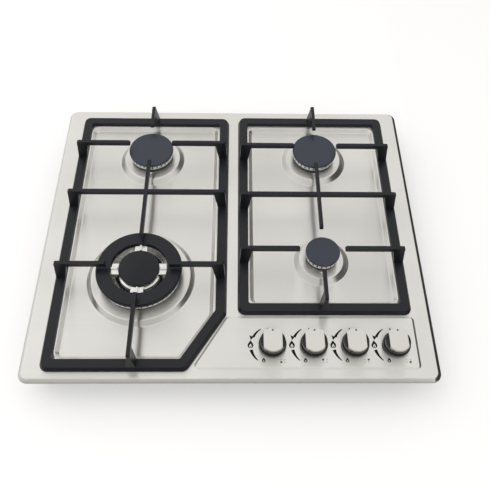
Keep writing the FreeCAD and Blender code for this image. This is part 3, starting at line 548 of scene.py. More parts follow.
def grained(finish, roughness, scale, clumps, tint, strength, depth=0.05 * MM, spread=(-0.03, 0.04)):
    """Adds grain and clumps of those scales, a tint, a bump, and a spread of the roughness."""
    grain = finish.effect(fine_grain, Scale=scale, Clumps=clumps)
    finish.tint(grain.outputs["Mask"], tint)
    finish.between(grain.outputs["Mask"], roughness + spread[0], roughness + spread[1], "Roughness")
    finish.bump(grain.outputs["Height"], strength, depth)
    return finish.material


def enamel(name, base, roughness, scale, gloss=0.5):
    finish = Finish(name, base, roughness, Specular_IOR_Level=gloss)
    return grained(finish, roughness, scale, scale / 3, 1.15, 0.12)


def cast_metal(name, base, roughness, scale=1400.0):
    finish = Finish(name, base, roughness, 1.0)
    return grained(finish, roughness, scale, 160.0, 0.96, 0.05, 0.03 * MM, (-0.02, 0.03))


def plastic(name, base, roughness, scale=1200.0, strength=0.15, gloss=0.5):
    finish = Finish(name, base, roughness, Specular_IOR_Level=gloss)
    return grained(finish, roughness, scale, 120.0, 1.25, strength)


def zinc(name, base, roughness):
    """Spangled zinc: patches of slightly different grey."""
    finish = Finish(name, base, roughness, 1.0)
    spangle = finish.node("TexVoronoi", {"Vector": finish.place, "Scale": 90.0})
    grey = finish.node("RGBToBW", {"Color": spangle.outputs["Color"]})
    finish.tint(grey.outputs[0], 0.72)
    finish.between(grey.outputs[0], roughness - 0.08, roughness + 0.10, "Roughness")
    return finish.material


FINISHES = {}


def make_finishes(colours):
    """Every material of the hob: those of the record's slots, then those of the scene's own pieces."""
    rows = {
        "brushed_stainless": (brushed_steel, colours.steel, 0.34, 1500.0, 1.0),
        "galvanised_steel": (zinc, (0.56, 0.57, 0.58), 0.38),
        "zinc_fasteners": (cast_metal, (0.68, 0.68, 0.66), 0.25, 3000.0),
        "seal_rubber": (plastic, (0.02, 0.02, 0.02), 0.75, 1600.0, 0.4),
        "black_enamel": (enamel, colours.enamel, 0.36, 1100.0, 0.32),
        "cap_enamel": (enamel, colours.cap, 0.34, 1500.0, 0.45),
        "burner_aluminium": (cast_metal, colours.cast, 0.24),
        "brass": (cast_metal, (0.72, 0.52, 0.23), 0.25, 2500.0),
        "tap_aluminium": (cast_metal, (0.62, 0.63, 0.64), 0.38),
        "plain_steel": (cast_metal, (0.50, 0.50, 0.50), 0.28, 2600.0),
        "white_ceramic": (plastic, (0.80, 0.79, 0.75), 0.2, 500.0, 0.05),
        "grey_plastic": (plastic, (0.045, 0.045, 0.048), 0.5),
        "silicone_lead": (plastic, (0.62, 0.60, 0.54), 0.5, 800.0, 0.1),
        "knob_black": (plastic, colours.black, 0.14, 900.0, 0.03),
        "knob_silver": (brushed_steel, colours.grip, 0.30, 2600.0),
        "dome_enamel": (enamel, (0.006, 0.007, 0.010), 0.24, 1500.0, 0.3),
        # painted shade: near-black finish of the skirts under the crowns and of the wok trough, standing for
        # the shade there
        "dark_enamel": (enamel, (0.012, 0.012, 0.014), 0.42, 1500.0),
        "ink": (plastic, colours.ink, 0.6, 1500.0, 0.05, 0.05),
        "faint_ink": (plastic, (0.42, 0.41, 0.38), 0.5, 1500.0, 0.05),
    }
    for name, (make, *values) in rows.items():
        FINISHES[name] = make(name, *values)


# ---- steel top ------------------------------------------------------------------------
def box_corners(x0, x1, y0, y1):
    return [(x0, y0), (x1, y0), (x1, y1), (x0, y1)]


def left_corners(x0, x1, y0, y1, cut_x, cut_y):
    """Outline of the left support or well, whose front right corner is cut off."""
    return [(x0, y0), (x1 - cut_x, y0), (x1, y0 + cut_y), (x1, y1), (x0, y1)]


def in_metres(points):
    return [(x * MM, y * MM) for x, y in points]


WELLS = {
    "left": in_metres(left_corners(-244.5, -26.5, -222.0, 215.0, 43.7, 69.8)),
    "right": in_metres(box_corners(26.5, 244.5, -136.0, 215.0)),
}
SUPPORT_CUT = (52.6 * MM, 84.1 * MM)


def support_corners(side, spread):
    """Outline of the flat top of a support's frame, spread inside its foot."""
    low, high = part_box(side + "_support_frame")
    edges = (low.x + spread, high.x - spread, low.y + spread, high.y - spread)
    return left_corners(*edges, *SUPPORT_CUT) if side == "left" else box_corners(*edges)


# outer radius, inner radius and rise of each burner's dome, rim radius of its cup, and where
# its igniter and flame sensor stand, in degrees
DOMES = {
    "rear_left": (53.5, 45.0, 8.0, 27.0, 70, 110),
    "rear_right": (53.5, 45.0, 8.0, 27.0, 70, 110),
    "front_right": (42.3, 33.5, 8.0, 18.0, 100, 60),
    "wok": (80.5, 73.4, 7.0, 30.0, 110, 80),
}
SIDE_GAP = 4.1 * MM
PANEL_LEFT, PANEL_CUT = -54.5 * MM, -7.0 * MM
PANEL_RIGHT, PANEL_FRONT, PANEL_REAR = 262.5 * MM, -237.5 * MM, -157.0 * MM
PANEL_FACE = PLATE_FACE + PANEL_RISE * MM
IGNITER_HOLE, SENSOR_HOLE, SPINDLE_HOLE = 2.9 * MM, 2.5 * MM, 7.0 * MM
SPARE, THROUGH = 6 * MM, 20 * MM
PANEL_SUNK, PANEL_CORNER = 2 * MM, 6 * MM
CUP_GAP = 0.5


def cap_node(burner):
    return "wok_ring_cap" if burner == "wok" else burner + "_burner_cap"


def beside(burner, degrees):
    """Where a rod stands beside a burner, at that angle from the right."""
    centre, radius = round_box(cap_node(burner))[2:]
    reach = radius + SIDE_GAP
    angle = math.radians(degrees)
    return centre.x + reach * math.cos(angle), centre.y + reach * math.sin(angle)


def plate_blank(sizes, low, high):
    """Block with the plate's outline and sloping rim, deep enough to sink the wells in."""
    corners = box_corners(low.x, high.x, low.y, high.y)
    blank = prism("steel_top", corners, low.z - SPARE, low.z, sizes.corner)
    taper(blank, 1, sizes.rim_bevel, sizes.rim_drop, PLATE_FACE - sizes.rim_drop - low.z)
    return blank


def well_cutter(side, sizes):
    corners = WELLS[side]
    cutter = prism("well", corners, PLATE_FACE, PLATE_FACE + SPARE, sizes.well_corner)
    taper(cutter, -1, sizes.well_depth, sizes.well_depth)
    return cutter


def dome(burner, well_depth):
    """Cone that rises out of a well's floor, and starts a little under it."""
    outer, inner, rise, *_ = DOMES[burner]
    centre = middle(cap_node(burner))
    slope = (outer - inner) / rise
    sunk = 2.0
    height = (rise + sunk) * MM
    low = PLATE_FACE - well_depth - sunk * MM
    return primitive("dome", "cone", vertices=ROUND_STEPS, radius1=(outer + sunk * slope) * MM,
                     radius2=inner * MM, depth=height, location=(centre.x, centre.y, low + height / 2))


def panel_block(sizes):
    """Raised control area, with its left edge along the cut corner of the left support."""
    corners = [(PANEL_LEFT, PANEL_FRONT), (PANEL_RIGHT, PANEL_FRONT), (PANEL_RIGHT, PANEL_REAR),
               (PANEL_CUT, PANEL_REAR)]
    raised = prism("panel", corners, PLATE_FACE - PANEL_SUNK, PLATE_FACE, PANEL_CORNER)
    taper(raised, 1, sizes.panel_slope, sizes.panel_rise)
    return raised


def plate_holes():
    """Plugs where the burners, igniters, sensors and spindles pass through the sheet."""
    rows = [(middle("knob_%d_base" % knob), SPINDLE_HOLE, 48) for knob in KNOBS]
    for burner, (_, _, _, rim, igniter, sensor) in DOMES.items():
        rows += [(middle(cap_node(burner)), (rim + CUP_GAP) * MM, ROUND_STEPS),
                 (beside(burner, igniter), IGNITER_HOLE, 48), (beside(burner, sensor), SENSOR_HOLE, 48)]
    low, high = PLATE_FACE - THROUGH, PLATE_FACE + THROUGH
    return join("holes", [disc("hole", place, radius, low, high, steps) for place, radius, steps in rows])


class HOB_OT_steel_top(Operator):
    """Pressed steel top with its sloping rim, two wells, burner domes and raised control area"""
    bl_idname = "hob.steel_top"
    bl_label = "Steel top"

    def execute(self, context):
        sizes = context.scene.hob_plate
        low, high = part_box("top_plate")
        low.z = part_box("rim_seal")[0].z
        top = plate_blank(sizes, low, high)
        for side in SUPPORTS:
            combine(top, well_cutter(side, sizes), "DIFFERENCE")
        for burner in DOMES:
            combine(top, dome(burner, sizes.well_depth), "UNION")
        combine(top, panel_block(sizes), "UNION")
        pick(top, "FACE", lambda place, normal: place.z < low.z - 2 * MM)
        bpy.ops.mesh.delete(type="FACE")
        done()
        soften(top, sizes.fold, 3, 24.0)
        shell = top.modifiers.new("sheet", "SOLIDIFY")
        shell.thickness = sizes.sheet
        shell.offset = -1.0
        apply(top, shell)
        combine(top, plate_holes(), "DIFFERENCE")
        smooth(top, 35.0)
        edit_all(top)
        bpy.ops.uv.cube_project(cube_size=1.0)
        done()
        place_on(top, "root", "brushed_stainless", "top_plate")
        return {"FINISHED"}


# ---- pan supports ---------------------------------------------------------------------
# fingers of each support, in mm: their line and how far their free tips reach, and the
# crossbar's line with the spine on it
FINGERS = {
    "left": {"pairs": ((144.3, -169.5, -101.3), (-90.5, -181.4, -91.0)),
             "rear": (-136.0, 181.4), "front": (-136.0, -137.5),
             "cross": (42.0, -135.2, 107.5, -42.2)},
    "right": {"pairs": ((140.5, 101.3, 171.0), (-63.0, 100.7, 168.0)),
              "rear": (136.4, 177.2), "front": (134.0, -101.0),
              "cross": (38.5, 135.0, 103.8, -26.5)},
}
WEB_REACH, INNER_CORNER = 6.0 * MM, 3.0 * MM
TOE = 0.3 * MM


def support_frame(side, sizes):
    """Ring of one pan support: upright inside, sloping outside, with rounded enamelled edges."""
    low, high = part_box(side + "_support_frame")
    top = support_corners(side, sizes.frame_spread)
    foot = inwards(top, -sizes.frame_spread)
    edge = 0.4 * MM
    corner = sizes.frame_corner + sizes.frame_spread
    ring = prism(side + "_frame", foot, low.z, low.z + edge, corner)
    taper(ring, 1, sizes.frame_spread, high.z - low.z - edge)
    inside = inwards(top, sizes.frame_width)
    hollow = prism("hollow", inside, low.z - MM, high.z + MM, INNER_CORNER)
    combine(ring, hollow, "DIFFERENCE")
    soften(ring, 1.3 * MM, 3, 35.0)
    return smooth(ring)


def upright(name, start, ahead, profile, width):
    """Bar with the given side view, standing on start and running along the unit vector ahead."""
    side = Vector((-ahead[1], ahead[0], 0))
    origin = Vector((start[0], start[1], 0)) - side * width / 2
    along = Vector((ahead[0], ahead[1], 0))
    points = [origin + along * distance + Vector((0, 0, height)) for distance, height in profile]
    piece = face_through(name, points)
    edit_all(piece)
    pull(side * width)
    outwards()
    done()
    return piece


def finger_leg(sizes):
    """Leg at the origin, reaching inwards along X: broad at its foot, as thin as the bar on top."""
    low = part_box("left_support_frame")[1].z - 0.6 * MM
    high = SUPPORT_TOP - sizes.finger_height + 1.4 * MM
    half = sizes.leg_width / 2
    leg = block("leg", (0, -half, low), (sizes.leg_depth, half, high))
    thinner = half - sizes.finger_width / 2 + 0.05 * MM
    moves = ((lambda place: place.y > 0, (0, -thinner, 0)), (lambda place: place.y < 0, (0, thinner, 0)),
             (lambda place: place.x < MM, (sizes.leg_lean, 0, 0)),
             (lambda place: place.x > sizes.leg_depth - MM, (sizes.leg_flare, 0, 0)))
    for wanted, step in moves:
        pick(leg, "VERT", lambda place, normal: place.z > high - MM and wanted(place))
        bpy.ops.transform.translate(value=step)
        done()
    return leg


def bar_profile(span, near, far):
    """Side view of a bar that long, with an upper and a lower bevel at each end."""
    top, low = SUPPORT_TOP, SUPPORT_TOP - bpy.context.scene.hob_support.finger_height
    return [(0, low + near[1]), (near[1], low), (span - far[1], low), (span, low + far[1]),
            (span, top - far[0]), (span - far[0], top), (near[0], top), (0, top - near[0])]


class HOB_OT_supports(Operator):
    """Two enamelled pan supports: a frame and seven fingers each"""
    bl_idname = "hob.supports"
    bl_label = "Pan supports"

    def execute(self, context):
        sizes = context.scene.hob_support
        leg = finger_leg(sizes)
        for side in SUPPORTS:
            body = side + "_support"
            place_on(support_frame(side, sizes), body, "black_enamel", body + "_frame")
            fingers = join(side + "_fingers", self.fingers(side, sizes, leg))
            soften(fingers, sizes.soft, 3, 24.0)
            place_on(smooth(fingers), body, "black_enamel", body + "_fingers")
        bpy.data.objects.remove(leg)
        return {"FINISHED"}

    def fingers(self, side, sizes, leg):
        xs, ys = zip(*support_corners(side, sizes.frame_spread))
        left, right = min(xs), max(xs)
        row = FINGERS[side]
        made = [self.cross(sizes, leg, left, right, *[value * MM for value in row["cross"]])]
        lines = []
        for y, left_tip, right_tip in row["pairs"]:
            lines += [((left, y * MM), (left_tip * MM, y * MM)), ((right, y * MM), (right_tip * MM, y * MM))]
        for name, start in (("rear", max(ys)), ("front", min(ys))):
            x, tip = row[name]
            lines.append(((x * MM, start), (x * MM, tip * MM)))
        return made + [self.finger(sizes, leg, foot, tip) for foot, tip in lines]

    def stand(self, leg, foot, ahead):
        """A leg with its outer side at foot, reaching along the unit vector ahead."""
        copy = twin(leg, "leg", (0, 0, 0))
        copy.data.transform(at(foot, math.atan2(ahead[1], ahead[0])))
        return copy

    def finger(self, sizes, leg, foot, tip):
        """A leg on the frame, and the bar that reaches from it to the free tip."""
        span = Vector(tip) - Vector(foot)
        ahead = span.normalized()
        start = Vector(foot) + ahead * sizes.leg_lean
        profile = bar_profile(span.length - sizes.leg_lean, (sizes.foot, TOE),
                              (sizes.tip_upper, sizes.tip_lower))
        bar = upright("finger", start, ahead, profile, sizes.finger_width)
        return combine(bar, self.stand(leg, foot, ahead), "UNION")

    def cross(self, sizes, leg, x0, x1, y, spine_x, spine_rear, spine_front):
        """Crossbar on two legs, its spine, and the web in the corners where they cross."""
        lean, foot = sizes.leg_lean, (sizes.foot, TOE)
        tips = (sizes.tip_upper, sizes.tip_lower)
        bar = upright("cross", (x0 + lean, y), (1, 0), bar_profile(x1 - x0 - 2 * lean, foot, foot),
                      sizes.finger_width)
        spine = upright("spine", (spine_x, spine_front), (0, 1),
                        bar_profile(spine_rear - spine_front, tips, tips), sizes.finger_width)
        corners = [(spine_x + WEB_REACH, y), (spine_x, y + WEB_REACH), (spine_x - WEB_REACH, y),
                   (spine_x, y - WEB_REACH)]
        low = SUPPORT_TOP - sizes.finger_height + MM
        others = [spine, prism("web", corners, low, SUPPORT_TOP - 1.4 * MM),
                  self.stand(leg, (x0, y), (1, 0)), self.stand(leg, (x1, y), (-1, 0))]
        for other in others:
            combine(bar, other, "UNION")
        return bar


# ---- burners --------------------------------------------------------------------------
def arc_points(centre, radius, start, end, steps):
    """(radius, height) points of an arc in a turned profile, angles in degrees from level."""
    points = []
    for step in range(steps + 1):
        angle = math.radians(start + (end - start) * step / steps)
        points.append((centre[0] + radius * math.cos(angle), centre[1] + radius * math.sin(angle)))
    return points


def enamel_cap(burner):
    """Flat enamelled cap with a rolled edge and its locating ring."""
    node = burner + "_burner_cap"
    radius, top = in_mm(node)
    under, ring, edge = top - 4.0, radius - 7.1, 1.5
    rows = [(0, under), (ring - 2, under), (ring - 2, 0), (ring, 0), (ring, under), (radius - 1.2, under)]
    rows += arc_points((radius - 1.0, under + 1.0), 1.0, -80, 0, 4)
    rows += arc_points((radius - edge, top - edge), edge, 0, 82, 6)
    rows += [(radius * 0.93, top), (radius * 0.6, top - 0.15), (0, top - 0.2)]
    return smooth(turned(burner + "_cap_plate", node, rows), 50.0)


SLOT_WIDTH = 1.6 * MM


def slotted(piece, centre, count, wall, low, high, slant=0.0, start=0.0):
    """Cuts flame slots through a ring wall between two radii.

    The first one stands at start degrees, and each is turned by slant degrees from the radius."""
    inner, outer = wall
    reach, half = outer - inner + 3 * MM, SLOT_WIDTH / 2
    cutters = []
    for index in range(count):
        cutter = block("slot", (-reach / 2, -half, low), (reach / 2, half, high))
        spot = at(centre, TURN * index / count + math.radians(start))
        cutter.data.transform(spot @ at(((inner + outer) / 2, 0), math.radians(slant)))
        cutters.append(cutter)
    return combine(piece, join("slots", cutters), "DIFFERENCE")


class HOB_OT_caps(Operator):
    """Enamelled caps of the three single burners, and the two caps of the wok burner"""
    bl_idname = "hob.caps"
    bl_label = "Burner caps"

    def execute(self, context):
        for burner in SMALL_BURNERS:
            place_on(enamel_cap(burner), burner + "_cap", "cap_enamel", burner + "_burner_cap")
        place_on(self.ring_cap(), "wok_ring", "black_enamel", "wok_ring_cap", slot="cap_enamel")
        place_on(self.inner_cap(), "wok_cap", "dome_enamel", "wok_inner_cap", slot="cap_enamel")
        return {"FINISHED"}

    def ring_cap(self):
        """Broad black ring with a rib under it and a wide hole for the inner flame ring."""
        radius, top = in_mm("wok_ring_cap")
        hole, rib, rib_width, under = 41.7, 46.0, 1.6, 2.0
        rows = [(hole, under), (rib, under), (rib, 0), (rib + rib_width, 0), (rib + rib_width, under),
                (radius - 1.2, under)]
        rows += arc_points((radius - 1.2, under + 1.2), 1.2, -80, 0, 4)
        rows += arc_points((radius - 3.6, top - 3.6), 3.6, 8, 84, 7)
        rows += arc_points((hole + 1.6, top - 1.6), 1.6, 96, 180, 5)
        return smooth(turned("wok_ring_plate", "wok_ring_cap", rows), 50.0)

    def inner_cap(self):
        """Small domed cap with its locating lip."""
        radius, top = in_mm("wok_inner_cap")
        under, lip, crown = 2.5, 25.0, 3.0
        rows = [(0, under), (lip - 2, under), (lip - 2, 0), (lip, 0), (lip, under), (radius - 1, under)]
        rows += arc_points((radius - 1.2, under + 1.3), 1.2, -70, 45, 6)
        for share in (0.94, 0.88, 0.8, 0.7, 0.58, 0.44, 0.28, 0.12, 0):
            rows.append((radius * share, top - crown * share ** 2))
        return smooth(turned("wok_cap_plate", "wok_inner_cap", rows), 50.0)


# heights in mm: of the slotted crowns, of the skirts painted dark as the shade under them, and from a head's
# foot to its seat
CROWN_HEIGHT, SKIRT_HEIGHT, SEAT = 7.2, 6.0, 5.0
# radii of the wok burner's outer wall, inner wall and crown, and its walls' thickness, in mm
WOK_OUTER, WOK_INNER, WOK_CROWN, WOK_WALL = 61.0, 43.0, 28.0, 2.5
WOK_FLOOR, WOK_SHELF_DROP = SEAT + 3.0, 6.8
# flame slots: how many each outer ring has, their slant in degrees, and where, in degrees, the
# wok burner's crown has its slots between two lugs
SLOTS = {"rear_left": 30, "rear_right": 30, "front_right": 22, "wok": 48}
SLANT, WOK_SLANT = 25, 20
CROWN_SLOTS = range(29, 62, 8)


def over_wok_foot(name, height):
    """Height in mm over the wok head's foot of a point that far over another node's foot."""
    return (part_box(name)[0].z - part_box("wok_burner_head")[0].z) / MM + height


class HOB_OT_flame_rings(Operator):
    """Bright flame rings: three single ones and the double one of the wok burner"""
    bl_idname = "hob.flame_rings"
    bl_label = "Flame rings"

    def execute(self, context):
        for burner in SMALL_BURNERS:
            node = burner + "_burner_head"
            place_on(self.ring(burner, node), burner + "_head", "burner_aluminium", node)
            # painted shade: each skirt is near-black to stand for the shade under its crown
            place_on(self.skirt(burner, node), burner + "_head", "dark_enamel", node, slot="cap_enamel")
        place_on(self.wok(), "wok_head", "burner_aluminium", "wok_burner_head")
        # painted shade: the wok skirt and trough are near-black where shade falls under the ring and in the
        # trough
        for made in (self.wok_skirt(), self.wok_trough()):
            place_on(made, "wok_head", "dark_enamel", "wok_burner_head", slot="cap_enamel")
        return {"FINISHED"}

    def ring(self, burner, node):
        """Slotted bright ring, narrower below, where the skirt painted dark as shade goes round it."""
        low, high, centre, radius = round_box(node)
        crown, top = in_mm(node)
        spigot, wall, shelf = DOMES[burner][3] - 4.3, 3.0, top - CROWN_HEIGHT
        hub = crown - wall - 0.2
        rows = [(8, SEAT), (spigot - 1.5, SEAT), (spigot - 1.5, 0), (spigot, 0), (spigot, SEAT), (hub, SEAT),
                (hub, shelf), (crown, shelf), (crown, top), (crown - wall, top),
                (crown - wall, shelf + 1.2), (hub - 2, shelf), (hub - 2, SEAT + 3), (8, SEAT + 2.5)]
        ring = turned(burner + "_flame_ring", node, rows)
        slotted(ring, centre, SLOTS[burner], (radius - wall * MM, radius),
                low.z + (shelf + 1.5) * MM, high.z + MM, SLANT)
        return smooth(soften(ring, CAST_EDGE, 2, 30.0))

    def skirt(self, burner, node):
        """Wall under the slotted ring, painted near-black as the shade under the crown."""
        crown, top = in_mm(node)
        radius, shelf = crown - 0.5, top - CROWN_HEIGHT - 0.05
        foot = shelf - SKIRT_HEIGHT
        rows = [(radius - 2.4, shelf), (radius - 1.5, foot)]
        rows += arc_points((radius - 0.5, foot + 0.5), 0.5, -90, 0, 3)
        rows += [(radius, shelf - 0.4), (radius - 0.4, shelf)]
        return smooth(turned(burner + "_flame_skirt", node, rows))

    def wok(self):
        """Double flame ring: outer wall with its chamber, trough, inner crown, and four lugs."""
        low, high, centre, _ = round_box("wok_burner_head")
        ring_low = over_wok_foot("wok_ring_cap", 2.0)
        crown_top = over_wok_foot("wok_inner_cap", 2.5)
        shelf, floor = ring_low - WOK_SHELF_DROP, WOK_FLOOR
        outer, inner, crown, wall = WOK_OUTER, WOK_INNER, WOK_CROWN, WOK_WALL
        rows = [(12, SEAT), (24.2, SEAT), (24.2, 0), (25.7, 0), (25.7, SEAT), (outer - 6, SEAT),
                (outer - 4.5, shelf - 3), (outer - 1.2, shelf), (outer, shelf), (outer, ring_low),
                (outer - wall, ring_low), (outer - wall, shelf + 1), (outer - 7, floor + 2),
                (inner + wall, floor + 2), (inner + wall, ring_low), (inner, ring_low),
                (inner - 0.6, ring_low - 1.5), (36.5, floor + 4.5), (33, floor + 1.5), (crown + 3, floor + 1),
                (crown + 3, floor + 6), (crown, floor + 7), (crown, crown_top), (crown - wall, crown_top),
                (crown - wall, floor), (12, floor)]
        head = turned("wok_flame_ring", "wok_burner_head", rows)
        ring_level, crown_level = (low.z + height * MM for height in (ring_low, crown_top))
        slotted(head, centre, SLOTS["wok"], ((outer - wall) * MM, outer * MM),
                ring_level - 5.6 * MM, ring_level + MM, WOK_SLANT)
        for start in CROWN_SLOTS:
            slotted(head, centre, 4, ((crown - wall) * MM, crown * MM),
                    crown_level - 6 * MM, crown_level + MM, start=start)
        lugs = []
        for index in range(4):
            for piece in self.lug(low.z + floor * MM, crown * MM, crown_level, ring_level, high.z):
                piece.data.transform(at(centre, TURN * index / 4))
                lugs.append(piece)
        lugs = soften(join("lugs", lugs), 0.9 * MM, 3, 30.0)
        soften(head, CAST_EDGE, 2, 30.0)
        return smooth(join("wok_flame_ring", [head, lugs]))

    def wok_skirt(self):
        """Wall under the outer flame ring, painted near-black as the shade under it."""
        shelf = over_wok_foot("wok_ring_cap", 2.0) - WOK_SHELF_DROP
        foot, face = shelf - 3.4, WOK_OUTER - 0.3
        return smooth(turned("wok_flame_skirt", "wok_burner_head", [
            (WOK_OUTER - 1, shelf), (WOK_OUTER - 4, foot), (face - 0.5, foot), (face, foot + 0.5),
            (face, shelf)]))

    def wok_trough(self):
        """Painted shade: a dark ring laid in the trough between the two flame rings, where shade falls."""
        floor = WOK_FLOOR
        return smooth(turned("wok_trough", "wok_burner_head", [
            (31.2, floor + 1.2), (33.2, floor + 1.8), (35.6, floor + 4.1), (35.6, floor + 3.0),
            (33.4, floor + 0.8), (31.2, floor + 0.4)]))

    def lug(self, floor, crown, crown_top, ring_low, fin_top):
        """Bright block between the two rings, with its thin fin and its foot."""
        half, fin_half, hole, inner = 9.5 * MM, 1.75 * MM, 41.1 * MM, 43.5 * MM
        body = block("lug", (crown - 1.5 * MM, -half, floor - MM), (hole, half, crown_top - MM))
        rounding = disc("round", (0, 0), hole, floor - 2 * MM, crown_top, ROUND_STEPS)
        combine(body, rounding, "INTERSECT")
        foot = block("foot", (hole - MM, -half, floor - MM), (inner, half, ring_low))
        fin = block("fin", (crown + 3 * MM, -fin_half, floor), (hole, fin_half, fin_top))
        return body, foot, fin


# ---- knobs ----------------------------------------------------------------------------
# radii in mm: where the ring sits on the body, the body's wall, the grip's blank, and the grooves
RING_SEAT, BODY_WALL, GRIP_BLANK = 16.4, 17.8, 17.4
GROOVES, GROOVE = (15.9, 14.8, 13.7), 0.25
DOT_RADIUS, DOT_BACK = 1.4 * MM, 2.6 * MM


class HOB_OT_knobs(Operator):
    """Four knobs: black skirt and body, silver ring and grip, and the dot on the grip"""
    bl_idname = "hob.knobs"
    bl_label = "Knobs"

    def execute(self, context):
        sizes = context.scene.hob_knob
        first = middle("knob_1_base")
        models = {"skirt": self.skirt(sizes, first), "handle": self.grip(sizes, first),
                  "dot": self.dot(sizes, first)}
        for knob in KNOBS:
            body = "knob_%d" % knob
            step = Vector((middle(body + "_base").x - first.x, 0, 0))
            made = {part: twin(model, body + "_" + part, step) for part, model in models.items()}
            place_on(made["skirt"], body, "knob_black", body + "_base")
            place_on(made["handle"], body, "knob_silver", body + "_grip")
            place_on(made["dot"], body, "ink", slot="knob_black")
        for model in models.values():
            bpy.data.objects.remove(model)
        return {"FINISHED"}

    def skirt(self, sizes, centre):
        """Black skirt and body, with grooves round its top and a channel for the grip."""
        radius, top = in_mm("knob_1_base")
        ring_low = sizes.skirt_height / MM
        ring_high = ring_low + sizes.ring_height / MM
        rows = [(5.5, 4.9), (12, 4), (13.5, 0), (radius - 0.6, 0)]
        rows += arc_points((radius - 0.8, 0.8), 0.8, -60, 0, 4)
        rows += arc_points((radius - 1.0, ring_low - 1.0), 1.0, 0, 80, 5)
        rows += [(RING_SEAT, ring_low), (RING_SEAT, ring_high), (BODY_WALL, ring_high)]
        rows += arc_points((BODY_WALL - 0.8, top - 0.8), 0.8, 0, 90, 5)
        for line in GROOVES:
            rows += [(line + GROOVE, top), (line, top - GROOVE), (line - GROOVE, top)]
        body = turned("skirt", "knob_1_base", rows + [(5.5, top)])
        half, reach = sizes.grip_width / 2, 25 * MM
        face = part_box("knob_1_base")[1].z
        channel = block("channel", (centre.x - half, centre.y - reach, face - sizes.sink),
                        (centre.x + half, centre.y + reach, face + 5 * MM))
        return smooth(combine(body, channel, "DIFFERENCE"), 35.0)

    def grip(self, sizes, centre):
        """Bar cut from a round blank by planes, and its silver ring."""
        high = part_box("knob_1_grip")[1].z
        bar = disc("grip", centre, GRIP_BLANK * MM, high - sizes.grip_height, high, 128)
        half, flat = sizes.grip_width / 2, sizes.flat
        cuts = [((half, 0, 0), (1, 0, 0)), ((-half, 0, 0), (-1, 0, 0)),
                ((0, flat, high), (0, sizes.rear_slope, 1)), ((0, -flat, high), (0, -sizes.front_slope, 1))]
        for point, normal in cuts:
            edit_all(bar)
            bpy.ops.mesh.bisect(plane_co=(centre.x + point[0], centre.y + point[1], point[2]),
                                plane_no=normal, use_fill=True, clear_outer=True)
            done()
        soften(bar, 0.8 * MM, 4, 15.0)
        outer, top = in_mm("knob_1_grip")[0] - 1.2, sizes.ring_height / MM
        ring = turned("ring", "knob_1_grip", [
            (RING_SEAT, 0), (outer - 0.4, 0), (outer, 0.4), (outer, top - 0.5), (outer - 0.5, top),
            (RING_SEAT, top)])
        return smooth(join("grip", [bar, ring]))

    def dot(self, sizes, centre):
        """Round dark mark let into the rear slope of the grip."""
        dot = disc("dot", (0, 0), DOT_RADIUS, -0.15 * MM, 0.15 * MM, 32)
        edit_all(dot)
        bpy.ops.mesh.bevel(offset=0.08 * MM, segments=2, affect="EDGES")
        done()
        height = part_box("knob_1_grip")[1].z - DOT_BACK * sizes.rear_slope
        place = Matrix.Translation((centre.x, centre.y + sizes.flat + DOT_BACK, height))
        dot.data.transform(place @ Matrix.Rotation(-math.atan(sizes.rear_slope), 4, "X"))
        return smooth(dot)


# ---- printed marks --------------------------------------------------------------------
PRINT_LOW, PRINT_HIGH = PANEL_FACE + 0.01 * MM, PANEL_FACE + 0.06 * MM
# in mm round a knob's axis: tapered arcs (two angles, two widths, radius), the arrow's head,
# the flame signs (place, height, width), and which of four squares stands for a knob's burner
ARCS = ((123, 155, 1.3, 3.9, 29.5), (193, 228, 4.8, 1.2, 30.6))
ARROW_HEAD = [(-32.2, 15.4), (-28.4, 13.4), (-24.4, 14.6), (-30.2, 7.8)]
FLAME_SIGNS = ((-30.7, -4.6, 12.2, 8.4), (-12.7, -26.0, 7.4, 5.0))
ARC_STEPS = 14
BURNER_SQUARE = {1: (-1, -1), 2: (-1, 1), 3: (1, 1), 4: (1, -1)}


def printed(points, centre, spare=0.0):
    """Thin flat mark over the control area, from points in mm round a knob's axis."""
    places = [(centre.x + x * MM, centre.y + y * MM) for x, y in points]
    return prism("mark", places, PRINT_LOW - spare, PRINT_HIGH + spare)


def swoosh(start, end, width_start, width_end, radius):
    """Tapered arc round the knob, angles in degrees, as a closed outline."""
    outside, inside = [], []
    for step in range(ARC_STEPS + 1):
        share = step / ARC_STEPS
        angle = math.radians(start + (end - start) * share)
        half = (width_start + (width_end - width_start) * share) / 2
        for side, reach in ((outside, radius + half), (inside, radius - half)):
            side.append((reach * math.cos(angle), reach * math.sin(angle)))
    return outside + inside[::-1]


def flame(height, width):
    """Pointed drop shape standing on (0, 0)."""
    right = [(0.12, 0.02), (0.38, 0.12), (0.5, 0.34), (0.42, 0.56), (0.2, 0.78)]
    left = [(-x, y) for x, y in reversed(right)]
    return [(x * width, y * height) for x, y in right + [(0.0, 1.0)] + left]


def shifted(points, x, y):
    return [(px + x, py + y) for px, py in points]


